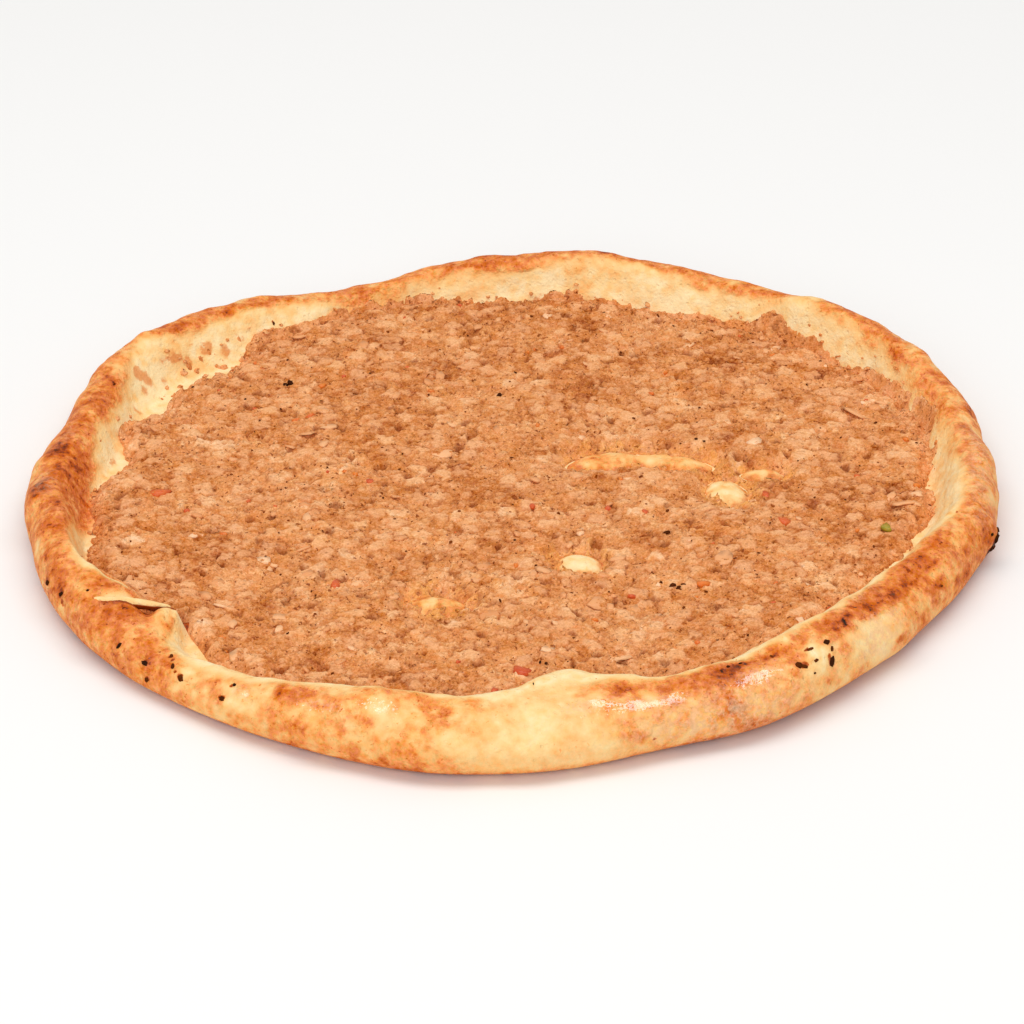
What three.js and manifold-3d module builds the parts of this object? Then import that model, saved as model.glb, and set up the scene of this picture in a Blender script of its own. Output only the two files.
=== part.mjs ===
// A lahmacun: a thin, nearly round flatbread with a rolled rim, spread with baked minced meat.
// Millimetres, +Z up. The origin is on the surface that the bread rests on, under the middle of it.
// Places round the rim are angles in degrees from +X, turning towards +Y.

import * as THREE from 'three';
import { mergeVertices } from 'three/addons/utils/BufferGeometryUtils.js';
import Module from 'manifold-3d';

const wasm = await Module();
wasm.setup();

// ---- Driving dimensions -------------------------------------------------------------------------

const HALF_LENGTH = 141; // middle to the outside of the rim, along X
const HALF_WIDTH = 138; // the same, along Y
const RIM_HEIGHT = 17; // the usual height of the rim's crest
const RIM_WIDTH = 20; // outside of the rim to the foot of its inner slope
const CREST_INSET = 9; // outside of the rim to its crest
const UNDERCUT = 8; // how far the rim's outside curls in under itself
const BELLY = 0.42; // share of the crest's height at which the rim is widest
const DOUGH_THICKNESS = 5; // the flat bread under the mince
const FLAT_UNDERSIDE = 22; // outside of the rim to the part of the underside that rests flat
const CRAG_HEIGHT = 0.5; // how far the baked skin of the rim swells and dips
const MINCE_TOP = 8.8; // the mince's mean surface
const MINCE_INSET = 13; // outside of the rim to the outside of the mince
const MINCE_EDGE = 6; // width over which the mince thins out to its outside
const CRUMB_HEIGHT = 0.85; // how far single crumbs stand above or below the mince's surface
const CRUMB_SHIFT = 0.55; // how far crumbs are moved off their even places, in spacings
const MINCE_WAVE = 0.35; // slow rise and fall of the mince's surface
const BARE_DIP = 1.6; // how much thinner the mince is beside a dough bubble
const DIP_MARGIN = 3; // width of that dip outside the bubble
const MINCE_ROOT = 1.2; // how far the mince's outside starts below the top of the flat dough
const GAP = 0.35; // between the mince and the bread
const ROOT = 1.2; // how deep the middle of a bubble or a lip is sunk in the flat dough

// How finely the surfaces are divided
const RIM_SEGMENTS = 104;
const UNDERSIDE_STEPS = 3;
const SHOULDER_STEPS = 5;
const SLOPE_STEPS = 5;
const MINCE_RINGS = 31;

// A swell changes one size of the rim around a place: [place, spread in degrees, change in mm].
const OUTLINE_SWELLS = [
  [34, 7, 6.5], // the bulge at the back right
  [47, 4, -3.5],
  [57, 5, 2.5],
  [71, 6, -2],
  [90, 5, -2],
  [113, 9, -6], // the flattened side at the back left
  [131, 5, -2],
  [146, 8, 2],
  [167, 8, -3.5],
  [232, 8, -1.5],
  [260, 7, 1.5],
  [288, 7, -4],
  [318, 13, -5.5], // the flattened side at the front right
  [342, 8, -3],
];
const CREST_SWELLS = [
  [36, 9, 3.5],
  [59, 5, 1],
  [80, 9, 2],
  [112, 10, -4.5], // the rim sinks at the back left
  [140, 6, 2],
  [165, 10, -1],
  [228, 9, -5.5], // the rim sinks at the front left
  [279, 5, 0.5],
  [312, 9, 2],
  [355, 12, 1],
];
const WIDTH_SWELLS = [
  [20, 14, -2],
  [112, 10, -6],
  [130, 9, 5],
  [200, 9, -6],
  [212, 5, 9], // the folded dough at the front left
  [229, 6, -3],
  [258, 9, 9],
  [277, 6, 18], // the hump that reaches in over the mince at the front
  [300, 12, 6],
  [325, 14, 5],
];
const CREST_INSET_SWELLS = [
  [212, 5, 3],
  [259, 9, 6],
  [277, 5.5, 13],
  [298, 10, 3],
  [320, 14, 4],
];
const LIFT_SWELLS = [[312, 14, 2]]; // where the rim's underside stands off the table
const MINCE_INSET_SWELLS = [
  [10, 14, 3],
  [66, 6, 5],
  [94, 3.5, 12], // a notch at the back
  [112, 7, -4],
  [137, 5.5, 20], // the bare corner at the back left
  [141, 14, 5],
  [178, 8, 9],
  [221, 5, 8],
];

// Dough bubbles that stand through the mince: middle, half length and half width, turn in degrees,
// and height above the flat dough.
const BUBBLES = [
  { at: [28, 11], half: [13, 6], turn: 22, height: 4.2 },
  { at: [46, 12], half: [14, 5], turn: -12, height: 4.2 },
  { at: [62, -3], half: [12, 8], turn: -78, height: 4.4 },
  { at: [73, 1], half: [8, 4], turn: -4, height: 4.2 },
  { at: [19, -43], half: [10, 7], turn: 4, height: 4.5 },
  { at: [-21, -66], half: [10, 5], turn: -8, height: 4.1 },
];

// The lip of the dough that is folded over at the front left, behind the rim's crest.
const FOLD_LIP = { at: [-100.5, -66.5], half: [12, 3.2], turn: -9, height: 9.8 };

// Pieces of dough that stand out of the rim: place, inset of their middle from the outside of the
// rim, half sizes along the rim, across it and up, and how far their middle is sunk below the skin.
const RIM_LUMPS = [
  { at: 308.5, inset: 4.5, half: [6, 4.5, 3], sunk: 1.2 }, // a burst blister
  { at: 146.5, inset: 6.5, half: [4.5, 3, 2.6], sunk: 0.8 }, // a nub at the back left
  { at: 348.5, inset: 1.5, half: [4, 3, 3.5], sunk: 6.5 }, // a charred pinch at the right
  { at: 77, inset: 5, half: [2, 1.4, 1.2], sunk: 0.2 }, // a crumb of mince on the crest
];

// Mince crumbs that lie on the bare dough: [x, y, size].
const STRAY_CRUMBS = [
  [-93, 80, 2.4],
  [-87, 83, 1.8],
  [-103, 75, 2.2],
  [-98, 69, 1.8],
  [-112, 60, 2],
  [-85, 75, 1.6],
];

// Pieces among the crumbs: how many, half sizes, and how far from the middle they lie at most.
const ONION_FLAKES = { count: 13, half: [3.8, 2.4, 1.3], reach: 100 };
const PEPPER_DICE = { count: 6, half: [1.9, 1.5, 1.5], reach: 92 };
const PIECE_RISE = 0.25; // their middles above the mince's mean surface

// ---- Small tools --------------------------------------------------------------------------------

function seededRandom(seed) {
  let state = seed;
  return () => {
    state = (Math.imul(state, 1664525) + 1013904223) >>> 0;
    return state / 4294967296;
  };
}

function swell(degrees, usual, swells) {
  return swells.reduce((value, [place, spread, change]) => {
    const away = THREE.MathUtils.euclideanModulo(degrees - place + 180, 360) - 180;
    return value + change * Math.exp(-0.5 * (away / spread) ** 2);
  }, usual);
}

// A closed surface through rings of equal length, with a pole before the first and after the last.
function closedRings(firstPole, rings, lastPole) {
  const count = rings[0].length;
  const points = [firstPole, ...rings.flat(), lastPole];
  const index = [];
  const at = (ring, i) => 1 + ring * count + (i % count);
  for (let i = 0; i < count; i++) {
    index.push(0, at(0, i + 1), at(0, i));
    for (let ring = 0; ring < rings.length - 1; ring++) {
      index.push(at(ring, i), at(ring, i + 1), at(ring + 1, i));
      index.push(at(ring, i + 1), at(ring + 1, i + 1), at(ring + 1, i));
    }
    index.push(at(rings.length - 1, i), at(rings.length - 1, i + 1), points.length - 1);
  }
  return new THREE.BufferGeometry().setFromPoints(points).setIndex(index);
}

function toSolid(geometry) {
  const bare = geometry.clone();
  bare.deleteAttribute('normal');
  bare.deleteAttribute('uv');
  const merged = mergeVertices(bare, 1e-4);
  return new wasm.Manifold(new wasm.Mesh({
    numProp: 3,
    vertProperties: new Float32Array(merged.attributes.position.array),
    triVerts: new Uint32Array(merged.index.array),
  }));
}

function toGeometry(solid) {
  const mesh = solid.getMesh();
  const geometry = new THREE.BufferGeometry();
  geometry.setAttribute('position', new THREE.BufferAttribute(mesh.vertProperties, 3));
  geometry.setIndex(new THREE.BufferAttribute(mesh.triVerts, 1));
  geometry.computeVertexNormals();
  return geometry;
}

function largestBody(solid) {
  return solid.decompose().reduce((best, body) => (body.volume() > best.volume() ? body : best));
}

// An uneven lump: a coarse ball with each corner moved a little, then stretched, turned and placed.
// `below` is the share of its depth that is left under its middle.
function lump({ middle, half, turn = 0, detail = 0, below = 1 }, random) {
  const ball = new THREE.IcosahedronGeometry(1, detail);
  ball.deleteAttribute('normal');
  ball.deleteAttribute('uv');
  const geometry = mergeVertices(ball, 1e-4);
  const position = geometry.attributes.position;
  const corner = new THREE.Vector3();
  for (let i = 0; i < position.count; i++) {
    corner.fromBufferAttribute(position, i).multiplyScalar(0.9 + 0.2 * random());
    position.setXYZ(i, corner.x, corner.y, corner.z * (corner.z < 0 ? below : 1));
  }
  geometry.scale(...half);
  geometry.rotateZ(THREE.MathUtils.degToRad(turn));
  geometry.translate(...middle);
  return geometry;
}

// ---- The rim's sizes at one place ---------------------------------------------------------------

function rimAt(degrees) {
  const angle = THREE.MathUtils.degToRad(degrees);
  const across = Math.hypot(HALF_WIDTH * Math.cos(angle), HALF_LENGTH * Math.sin(angle));
  return {
    angle,
    radius: swell(degrees, (HALF_LENGTH * HALF_WIDTH) / across, OUTLINE_SWELLS),
    crest: swell(degrees, RIM_HEIGHT, CREST_SWELLS),
    width: swell(degrees, RIM_WIDTH, WIDTH_SWELLS),
    inset: swell(degrees, CREST_INSET, CREST_INSET_SWELLS),
    lift: swell(degrees, 0, LIFT_SWELLS),
  };
}

// Uneven swelling of the baked skin, from three waves that run round the rim and across it.
function crag(angle, inset) {
  const waves = Math.sin(17 * angle + 0.21 * inset)
    + Math.sin(29 * angle - 0.33 * inset + 1.7)
    + Math.sin(43 * angle + 0.5 * inset + 4.2);
  return (CRAG_HEIGHT * waves) / 3;
}

// The rim's section from its underside, up round the outside, over the crest and down the inner
// slope: pairs of inset from the outside and height.
function rimSection(rim) {
  const belly = BELLY * rim.crest;
  const section = [[FLAT_UNDERSIDE, 0]];
  for (let i = 0; i <= UNDERSIDE_STEPS; i++) {
    const turn = (Math.PI / 2) * (i / UNDERSIDE_STEPS - 1);
    section.push([UNDERCUT * (1 - Math.cos(turn)), belly + (belly - rim.lift) * Math.sin(turn)]);
  }
  for (let i = 1; i <= SHOULDER_STEPS; i++) {
    const turn = (Math.PI / 2) * (i / SHOULDER_STEPS);
    const inset = rim.inset * (1 - Math.max(0, Math.cos(turn)) ** 0.9);
    section.push([inset, belly + (rim.crest - belly) * Math.sin(turn) ** 0.95]);
  }
  for (let i = 1; i <= SLOPE_STEPS; i++) {
    const share = i / SLOPE_STEPS;
    const fall = 0.5 * (1 + Math.cos(Math.PI * share ** 1.15));
    const inset = rim.inset + (rim.width - rim.inset) * share;
    section.push([inset, DOUGH_THICKNESS + (rim.crest - DOUGH_THICKNESS) * fall]);
  }
  return section;
}

// The height of the rim's skin at an inset, read off its section.
function skinHeight(rim, inset) {
  const section = rimSection(rim).slice(UNDERSIDE_STEPS + 1);
  const next = Math.max(1, section.findIndex((point) => point[0] >= inset));
  const [before, after] = [section[next - 1], section[next]];
  return THREE.MathUtils.mapLinear(inset, before[0], after[0], before[1], after[1]);
}

function rimPoint(rim, inset, height) {
  const reach = rim.radius - inset;
  return new THREE.Vector3(reach * Math.cos(rim.angle), reach * Math.sin(rim.angle), height);
}

// ---- Crust: flat dough, rolled rim, bubbles, fold and what is baked on ---------------------------

// The skin swells upwards above the rim's widest place and outwards below it. The underside and the
// foot of the inner slope stay as they are.
function skinPoint(rim, [inset, height], step) {
  const still = step < 2 || inset >= rim.width;
  const swelling = still ? 0 : crag(rim.angle, inset);
  const upwards = height > BELLY * rim.crest;
  return rimPoint(rim, upwards ? inset : inset - swelling, upwards ? height + swelling : height);
}

function breadShell() {
  const columns = Array.from({ length: RIM_SEGMENTS }, (_, i) => {
    const rim = rimAt((360 * i) / RIM_SEGMENTS);
    return rimSection(rim).map((point, step) => skinPoint(rim, point, step));
  });
  const rings = columns[0].map((_, step) => columns.map((column) => column[step]));
  const underMiddle = new THREE.Vector3(0, 0, 0);
  const topMiddle = new THREE.Vector3(0, 0, DOUGH_THICKNESS);
  return closedRings(underMiddle, rings, topMiddle);
}

// `spare` makes each piece that much larger, for the hollow that the bread leaves in the mince.
function doughBubble({ at, half, turn, height }, spare, random) {
  const middle = [...at, DOUGH_THICKNESS - ROOT];
  const size = [half[0] + spare, half[1] + spare, height + ROOT + spare];
  return lump({ middle, half: size, turn, detail: 1, below: 0.3 }, random);
}

function rimLump({ at, inset, half, sunk }, spare, random) {
  const rim = rimAt(at);
  const middle = rimPoint(rim, inset, skinHeight(rim, inset) - sunk).toArray();
  const size = half.map((value) => value + spare);
  return lump({ middle, half: size, turn: at + 90, detail: 1 }, random);
}

function strayCrumb([x, y, size], spare, random) {
  const middle = [x, y, DOUGH_THICKNESS];
  const half = [size + spare, 0.8 * size + spare, 0.9 * size + spare];
  return lump({ middle, half, turn: 90 * x }, random);
}

function crustSolid(spare = 0) {
  const random = seededRandom(7);
  const baked = [
    ...BUBBLES.map((entry) => doughBubble(entry, spare, random)),
    doughBubble(FOLD_LIP, spare, random),
    ...RIM_LUMPS.map((entry) => rimLump(entry, spare, random)),
    ...STRAY_CRUMBS.map((entry) => strayCrumb(entry, spare, random)),
  ];
  const shell = toSolid(breadShell()).translate([0, 0, spare]);
  return largestBody(baked.reduce((sum, piece) => sum.add(toSolid(piece)), shell));
}

// ---- Mince topping ------------------------------------------------------------------------------

// How much the mince dips at a place, because of the dough bubble that is nearest in its own size.
function bareDip(x, y) {
  const depths = BUBBLES.map(({ at, half, turn }) => {
    const away = new THREE.Vector2(x - at[0], y - at[1]);
    away.rotateAround(new THREE.Vector2(), -THREE.MathUtils.degToRad(turn));
    const share = Math.hypot(away.x / (half[0] + DIP_MARGIN), away.y / (half[1] + DIP_MARGIN));
    return Math.exp(-(share ** 4));
  });
  return BARE_DIP * Math.max(...depths);
}

// The mince's surface height, where `inward` is the distance from its outside. It starts a little
// below the top of the flat dough there.
function minceHeight(x, y, inward) {
  const wave = MINCE_WAVE * (Math.sin(0.11 * x + 0.6) + Math.sin(0.13 * y - 0.05 * x + 2));
  const full = MINCE_TOP + wave - bareDip(x, y);
  const thickness = THREE.MathUtils.smoothstep(inward, -1, MINCE_EDGE);
  return THREE.MathUtils.lerp(DOUGH_THICKNESS - MINCE_ROOT, full, thickness);
}

// Ring k of the mince has 6k crumbs, so that the crumbs lie evenly, like a honeycomb. Each one is
// moved a little to the side and up or down, apart from those of the last ring.
function minceRing(k, random) {
  const loose = k < MINCE_RINGS ? 1 : 0;
  const shift = () => loose * CRUMB_SHIFT * (random() - 0.5);
  return Array.from({ length: 6 * k }, (_, i) => {
    const degrees = (60 * (i + shift())) / k;
    const rim = rimAt(degrees);
    const outside = rim.radius - swell(degrees, MINCE_INSET, MINCE_INSET_SWELLS);
    const reach = (outside * (k + shift())) / MINCE_RINGS;
    const point = rimPoint(rim, rim.radius - reach, 0);
    const crumb = loose * CRUMB_HEIGHT * (2 * random() - 1);
    point.z = minceHeight(point.x, point.y, outside - reach) + crumb;
    return point;
  });
}

// The faces between ring k - 1 and ring k of a honeycomb, where `at` gives a point's index.
function honeycombFaces(k, at) {
  const faces = [];
  for (let sector = 0; sector < 6; sector++) {
    for (let i = 0; i < k; i++) {
      const outer = sector * k + i;
      const inner = sector * (k - 1) + i;
      faces.push(at(k - 1, inner), at(k, outer), at(k, outer + 1));
      if (i < k - 1) {
        faces.push(at(k - 1, inner), at(k, outer + 1), at(k - 1, inner + 1));
      }
    }
  }
  return faces;
}

// The mince as a slab: crumbs on top, a straight side, and a flat underside inside the dough.
function minceSlab(random) {
  const underside = 0.6 * DOUGH_THICKNESS;
  const top = Array.from({ length: MINCE_RINGS }, (_, k) => minceRing(k + 1, random));
  const foot = top.at(-1).map((point) => new THREE.Vector3(point.x, point.y, underside));
  const rings = [[new THREE.Vector3(0, 0, MINCE_TOP)], ...top, foot];
  const starts = rings.map((_, k) => rings.slice(0, k).flat().length);
  const at = (k, i) => starts[k] + (i % rings[k].length);
  const underMiddle = rings.flat().length;
  const index = top.flatMap((_, k) => honeycombFaces(k + 1, at));
  for (let i = 0; i < foot.length; i++) {
    const [here, next] = [at(MINCE_RINGS, i), at(MINCE_RINGS, i + 1)];
    const [hereBelow, nextBelow] = [at(MINCE_RINGS + 1, i), at(MINCE_RINGS + 1, i + 1)];
    index.push(here, hereBelow, nextBelow, here, nextBelow, next);
    index.push(hereBelow, underMiddle, nextBelow);
  }
  const points = [...rings.flat(), new THREE.Vector3(0, 0, underside)];
  return new THREE.BufferGeometry().setFromPoints(points).setIndex(index);
}

// Pieces lie evenly over the mince: golden-angle places, each moved a little and turned at random.
function scatteredPieces({ count, half, reach }, random) {
  return Array.from({ length: count }, (_, i) => {
    const angle = THREE.MathUtils.degToRad(137.5 * (i + 0.5) + 20 * random());
    const distance = reach * Math.sqrt((i + 0.5) / count);
    const [x, y] = [distance * Math.cos(angle), distance * Math.sin(angle)];
    const size = half.map((value) => value * (0.75 + 0.5 * random()));
    const middle = [x, y, MINCE_TOP + PIECE_RISE];
    return lump({ middle, half: size, turn: 360 * random() }, random);
  });
}

function minceSolid() {
  const random = seededRandom(31);
  const bread = crustSolid(GAP);
  const spread = largestBody(toSolid(minceSlab(random)).subtract(bread));
  const pieces = [
    ...scatteredPieces(ONION_FLAKES, random),
    ...scatteredPieces(PEPPER_DICE, random),
  ];
  const topped = pieces.reduce((sum, piece) => sum.add(toSolid(piece)), spread);
  return largestBody(topped.subtract(bread));
}

// ---- Assembly -----------------------------------------------------------------------------------

function namedMesh(name, solid, colour, roughness) {
  const material = new THREE.MeshStandardMaterial({ color: colour, roughness, metalness: 0 });
  const mesh = new THREE.Mesh(toGeometry(solid), material);
  mesh.name = name;
  return mesh;
}

const lahmacun = new THREE.Group();
lahmacun.add(namedMesh('crust', crustSolid(), 0xe0a462, 0.5));
lahmacun.add(namedMesh('mince_topping', minceSolid(), 0xbf7d4b, 0.6));

const middle = new THREE.Box3().setFromObject(lahmacun).getCenter(new THREE.Vector3());
lahmacun.position.set(-middle.x, -middle.y, 0);

export default lahmacun;
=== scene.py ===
"""A lahmacun: baked bread with a rolled rim, minced meat, onion, pepper and burnt flecks.

Shapes are worked out in millimetres in the bread's own frame: +X right, +Y away, +Z up, with the
middle of the bread's ellipse at the origin. Places round the rim are degrees from +X towards +Y.
`across` is a length over the rim's skin, from its widest place up towards the crest and beyond.
"""

from itertools import product
from types import SimpleNamespace

import bpy
import numpy as np
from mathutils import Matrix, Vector


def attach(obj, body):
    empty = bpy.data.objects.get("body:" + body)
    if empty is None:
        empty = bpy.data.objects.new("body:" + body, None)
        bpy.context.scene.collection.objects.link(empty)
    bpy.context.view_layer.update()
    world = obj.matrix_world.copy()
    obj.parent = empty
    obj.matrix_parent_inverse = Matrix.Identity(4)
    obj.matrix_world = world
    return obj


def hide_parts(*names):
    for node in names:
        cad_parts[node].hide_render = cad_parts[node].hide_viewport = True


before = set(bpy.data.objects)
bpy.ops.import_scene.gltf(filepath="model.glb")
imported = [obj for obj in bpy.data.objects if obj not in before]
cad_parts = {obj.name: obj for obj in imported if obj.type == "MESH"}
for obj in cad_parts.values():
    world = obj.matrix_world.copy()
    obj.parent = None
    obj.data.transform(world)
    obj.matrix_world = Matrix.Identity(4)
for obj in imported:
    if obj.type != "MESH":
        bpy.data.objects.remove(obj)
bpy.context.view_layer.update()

bl_info = {
    "name": "Lahmacun",
    "version": (1, 0, 0),
    "blender": (4, 5, 0),
    "location": "3D View > Sidebar > Lahmacun",
    "description": "Baked bread with a rolled rim, minced meat, onion, pepper and burnt flecks",
    "category": "Object",
}

MM = 0.001

# ---- The bread's form ---------------------------------------------------------------------------

BELLY = 0.42  # share of the crest's height at which the rim is widest
FLAT_UNDERSIDE = 22  # outside of the rim to the part of the underside that rests flat
UNDERCUT = 8  # how far the rim's outside curls in under itself
ROOT = 1.2  # how deep a dough bubble is sunk in the flat dough
BARE_REACH = 48  # how far in from the outside the flat dough has fine rows
SLOPE_POWER = 1.15  # above 1 the inner slope stays high for longer

# A swell changes one size around a place: (place, spread in degrees, change in mm).
OUTLINE_SWELLS = (
    (17, 4, 2.6), (34, 8, 4.4), (46, 4, -0.8), (57, 5, 0.6), (67, 6, -1.6), (90, 5, -2), (113, 9, -6),
    (119, 4, -1), (131, 5, -2), (141, 4, -1.4), (146, 8, 2), (168, 8, -4.2), (193, 5, -1.6),
    (232, 8, -1.5), (260, 7, 1.5), (288, 7, -4), (318, 13, -5.5), (330, 5, -1.6), (342, 8, -3),
    (349, 4, 1.2),
)
CREST_SWELLS = (
    (36, 9, 2.4), (59, 5, -0.3), (77, 8, 2.4), (112, 10, -4.5), (140, 6, 1), (165, 10, -1),
    (228, 9, -5.5), (279, 5, 0.5), (312, 9, 2), (355, 12, 1),
)
WIDTH_SWELLS = (
    (20, 14, -2), (112, 10, -6), (130, 9, 5), (200, 9, -6), (212, 5, 9), (229, 6, -3),
    (258, 9, 9), (277, 6, 18), (300, 12, 6), (325, 14, 5),
)
CREST_INSET_SWELLS = ((212, 5, 3), (259, 9, 6), (277, 5.5, 13), (298, 10, 3), (320, 14, 4))
LIFT_SWELLS = ((312, 14, 2),)
# Crest to the mince's border, down the rim's inner slope.
BORDER_SWELLS = (
    (3, 3, 2.6), (14, 6, -3), (25, 7, -1.6), (37, 2.5, 1.2), (43, 3, -1.2), (49.5, 2, -3), (70, 9, 1.3),
    (82.5, 1.5, -0.9), (88, 3, 1.1), (95, 1.6, 1.2), (111, 8, -4.4), (126, 3, 1.6), (139, 4, 8),
    (148, 5, 7), (155.5, 2.6, 7.5), (164, 3, -0.8), (172, 3.6, 7), (187, 6, 3), (204, 7, -3.8),
    (221, 5, -0.5), (338, 12, 5), (349.4, 2, 3),
)
# How ragged the border is.
RAGGED_SWELLS = ((14, 8, 0.8), (140, 12, 1))

# Dough bubbles that stand through the mince: middle, half length and half width, turn in degrees,
# height above the flat dough, how far the mince laps over them, and baking.
BUBBLES = (
    ((28, 18.4), (13, 6), 14, 2.5, 1, 0.34), ((46.4, 18), (14, 5), -12, 2.5, 1, 0.3),
    ((62.6, 0.6), (6.4, 8.6), 20, 2.5, 1.2, 0.14), ((73.4, 11), (7, 3.4), -4, 2.3, 0.8, 0.2),
    ((19, -38.6), (7.4, 6.4), 4, 2.5, 1.4, 0.1), ((-20, -61), (10, 6), -8, 2.6, 3, 0.26),
)

# Scraps of mince that stand on the bare dough: x, y, half length along X and along Y.
SCRAPS = (
    (-104, 71, 1.4, 0.8), (-98.4, 73, 1.2, 1), (-92.6, 78.6, 1.2, 0.9), (-87, 81.4, 1.2, 0.9),
    (-95, 76, 0.8, 0.6), (-84, 86, 0.8, 0.5), (-90, 76.5, 1.2, 0.7),
)

# Stains that the mince has left on the bare dough: place, across, half along, half across, strength.
STAINS = (
    (33, 31, 3.9, 1.8, 0.7), (62, 30, 3.9, 1.6, 0.6), (86, 31, 5.2, 1.8, 0.7), (100, 30, 3.9, 1.6, 0.7),
    (120, 28, 3.9, 1.6, 0.6), (131.6, 28.6, 2.6, 1.8, 0.8), (134, 26, 2.1, 1.2, 0.7),
    (137.2, 29, 2.1, 2.1, 1.1), (139.8, 27.2, 2.6, 2.3, 1.1), (141.6, 24, 1, 1, 0.8),
    (143.2, 28.3, 1.6, 2, 1), (144.7, 25, 2.9, 1.8, 1), (146.5, 23.6, 2.9, 1.4, 1),
    (148.6, 29, 1.8, 1.3, 0.7), (151, 25, 2.2, 2.6, 1), (151.9, 21.5, 2, 2, 1),
    (152.6, 27, 1.6, 1.6, 0.9), (157, 28, 1.8, 1.6, 0.7), (171, 29, 3.1, 1.3, 0.6),
    (180, 27, 3.4, 1.3, 0.6), (190, 25, 3.9, 1.6, 0.5),
)

# Lumps that push the rim's skin outwards: place, across, half along the rim, half across, height.
SKIN_LUMPS = (
    (308.6, 9.5, 6, 4, 1.6),  # a burst blister
    (146.4, 13, 4, 3, 1.8),  # a nub at the back left
    (348.5, 1.5, 4, 5, 1.2),  # a charred pinch at the right
    (45.5, 15, 9, 6, 2.4), (253.5, 17, 8, 5, 2.2),  # high stretches of the crest
    (258, 20, 5, 3, 0.8),
    (186, 9, 6, 4, 0.7), (297, 14, 7, 3, 0.6), (229, 7, 5, 4, 0.5), (27, 12, 7, 4, 0.6),
)

# The crease of the folded dough: x and y of its ends. The flap in front of it stands up towards its
# right end, and the dough behind it drops.
CREASE_FROM, CREASE_TO = (-112.5, -72.6), (-91.5, -73.4)
FLAP_RISE, CREASE_DROP = 8.4, 1.4
# The lip behind the crease: x, y, z of its top, half width, and height of its rounded edge.
LIP_LINE = (
    (-115, -70.6, 15, 0.7, 0.8), (-111.5, -71.7, 15.8, 1.2, 1.1), (-106.5, -72, 16, 1.4, 1.2),
    (-101.5, -71.9, 15.4, 1.3, 1.1), (-97, -71.8, 14.3, 1.1, 0.9), (-92.5, -71.5, 12.8, 0.7, 0.6),
)
LIP_DEPTH = 2.2  # how far the lip reaches down to the dough behind it
CREASE_SHADE_HALF = 0.9  # half width of the painted shade along the crease

# Waves that run round the rim's skin: how many, how much they lean with the inset, and phase.
SKIN_WAVES = ((17, 0.21, 0), (29, -0.33, 1.7), (43, 0.5, 4.2))
WAVE_HEIGHT = 0.5  # of the mean of the waves
# Noise on the rim's skin: size, height and seed.
SKIN_NOISE = ((15, 0.6, 11), (7, 0.36, 12), (3.4, 0.16, 13), (1.7, 0.08, 14))
SCORCH_DEPTH = 0.25  # how deep a scorched mark is sunk

# ---- How far the skin is baked ------------------------------------------------------------------

# Baking runs from 0, raw cream, to 1, char. These swells give it round the rim: (place, spread,
# change), for the outer wall, for the band along the crest, and for how far in that band reaches.
WALL_BAKE_SWELLS = (
    (10, 12, -0.02), (184, 8, 0.1), (206, 6, 0.12), (217, 5, 0.1), (230, 6, -0.04), (250, 9, -0.04),
    (273, 7, -0.2), (318, 5, -0.12), (334, 6, 0.08), (346, 5, 0.12),
)
CREST_BAKE_SWELLS = (
    (60, 10, 0.03), (90, 12, 0.05), (139, 6, 0.14), (148, 3, -0.12), (168, 7, 0.04), (182, 9, 0.1),
    (216, 5, 0.1), (228, 5, -0.08), (252, 9, -0.02), (273, 7, -0.18), (287, 4, 0.04), (298, 5, 0.16),
    (307, 2.5, -0.14), (320, 6, 0.2), (333, 6, 0.12),
)
BAND_REACH_SWELLS = (
    (15, 14, 1.5), (34, 6, 0.5), (46, 5, -1), (59, 6, 1), (73, 5, -1.5), (92, 8, 1), (122, 8, 0.5),
    (139, 5, 2), (148, 2.5, -4), (158, 6, 3), (177, 5, 5), (186, 4, 8), (205, 6, -2.5), (217, 3.5, 14),
    (232, 7, -4), (250, 9, -1.5), (275, 7, -5), (298, 7, -2), (317, 7, -2), (352, 7, -1.5),
)

WALL_BAKE, CREST_BAKE = 0.4, 0.44  # usual baking of the outer wall and of the band
BAND_REACH = 1.5  # usual way from the crest to the band's inner end
CREAM_BAKE = 0.09  # baking of the dough past the band
WALL_LIMIT, BAND_LIMIT = 0.46, 0.76  # baking past which noise counts for less
EDGE_BAKE_AND_SHADE = 0.2  # how much browner the edge under the wall is: partly real browning, partly painted contact shade
BROWNEST = 0.78  # baking past which only scorched marks go
BEHIND_CREASE = 0.25  # share of its baking that the dough behind the crease has
CREASE_SHADE = 0.95  # strength of the painted shade along the crease

# How far noise shifts the outlines of the toasted areas, the scorched marks and the stains.
TOAST_SHIFT, SCORCH_SHIFT, STAIN_SHIFT = 0.6, 0.5, 1.7
MARK_REACH = 4  # half lengths along the rim past which a mark counts for nothing
STREAK_PULL = 0.45  # how much the way across the rim counts in the streaks

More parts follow.
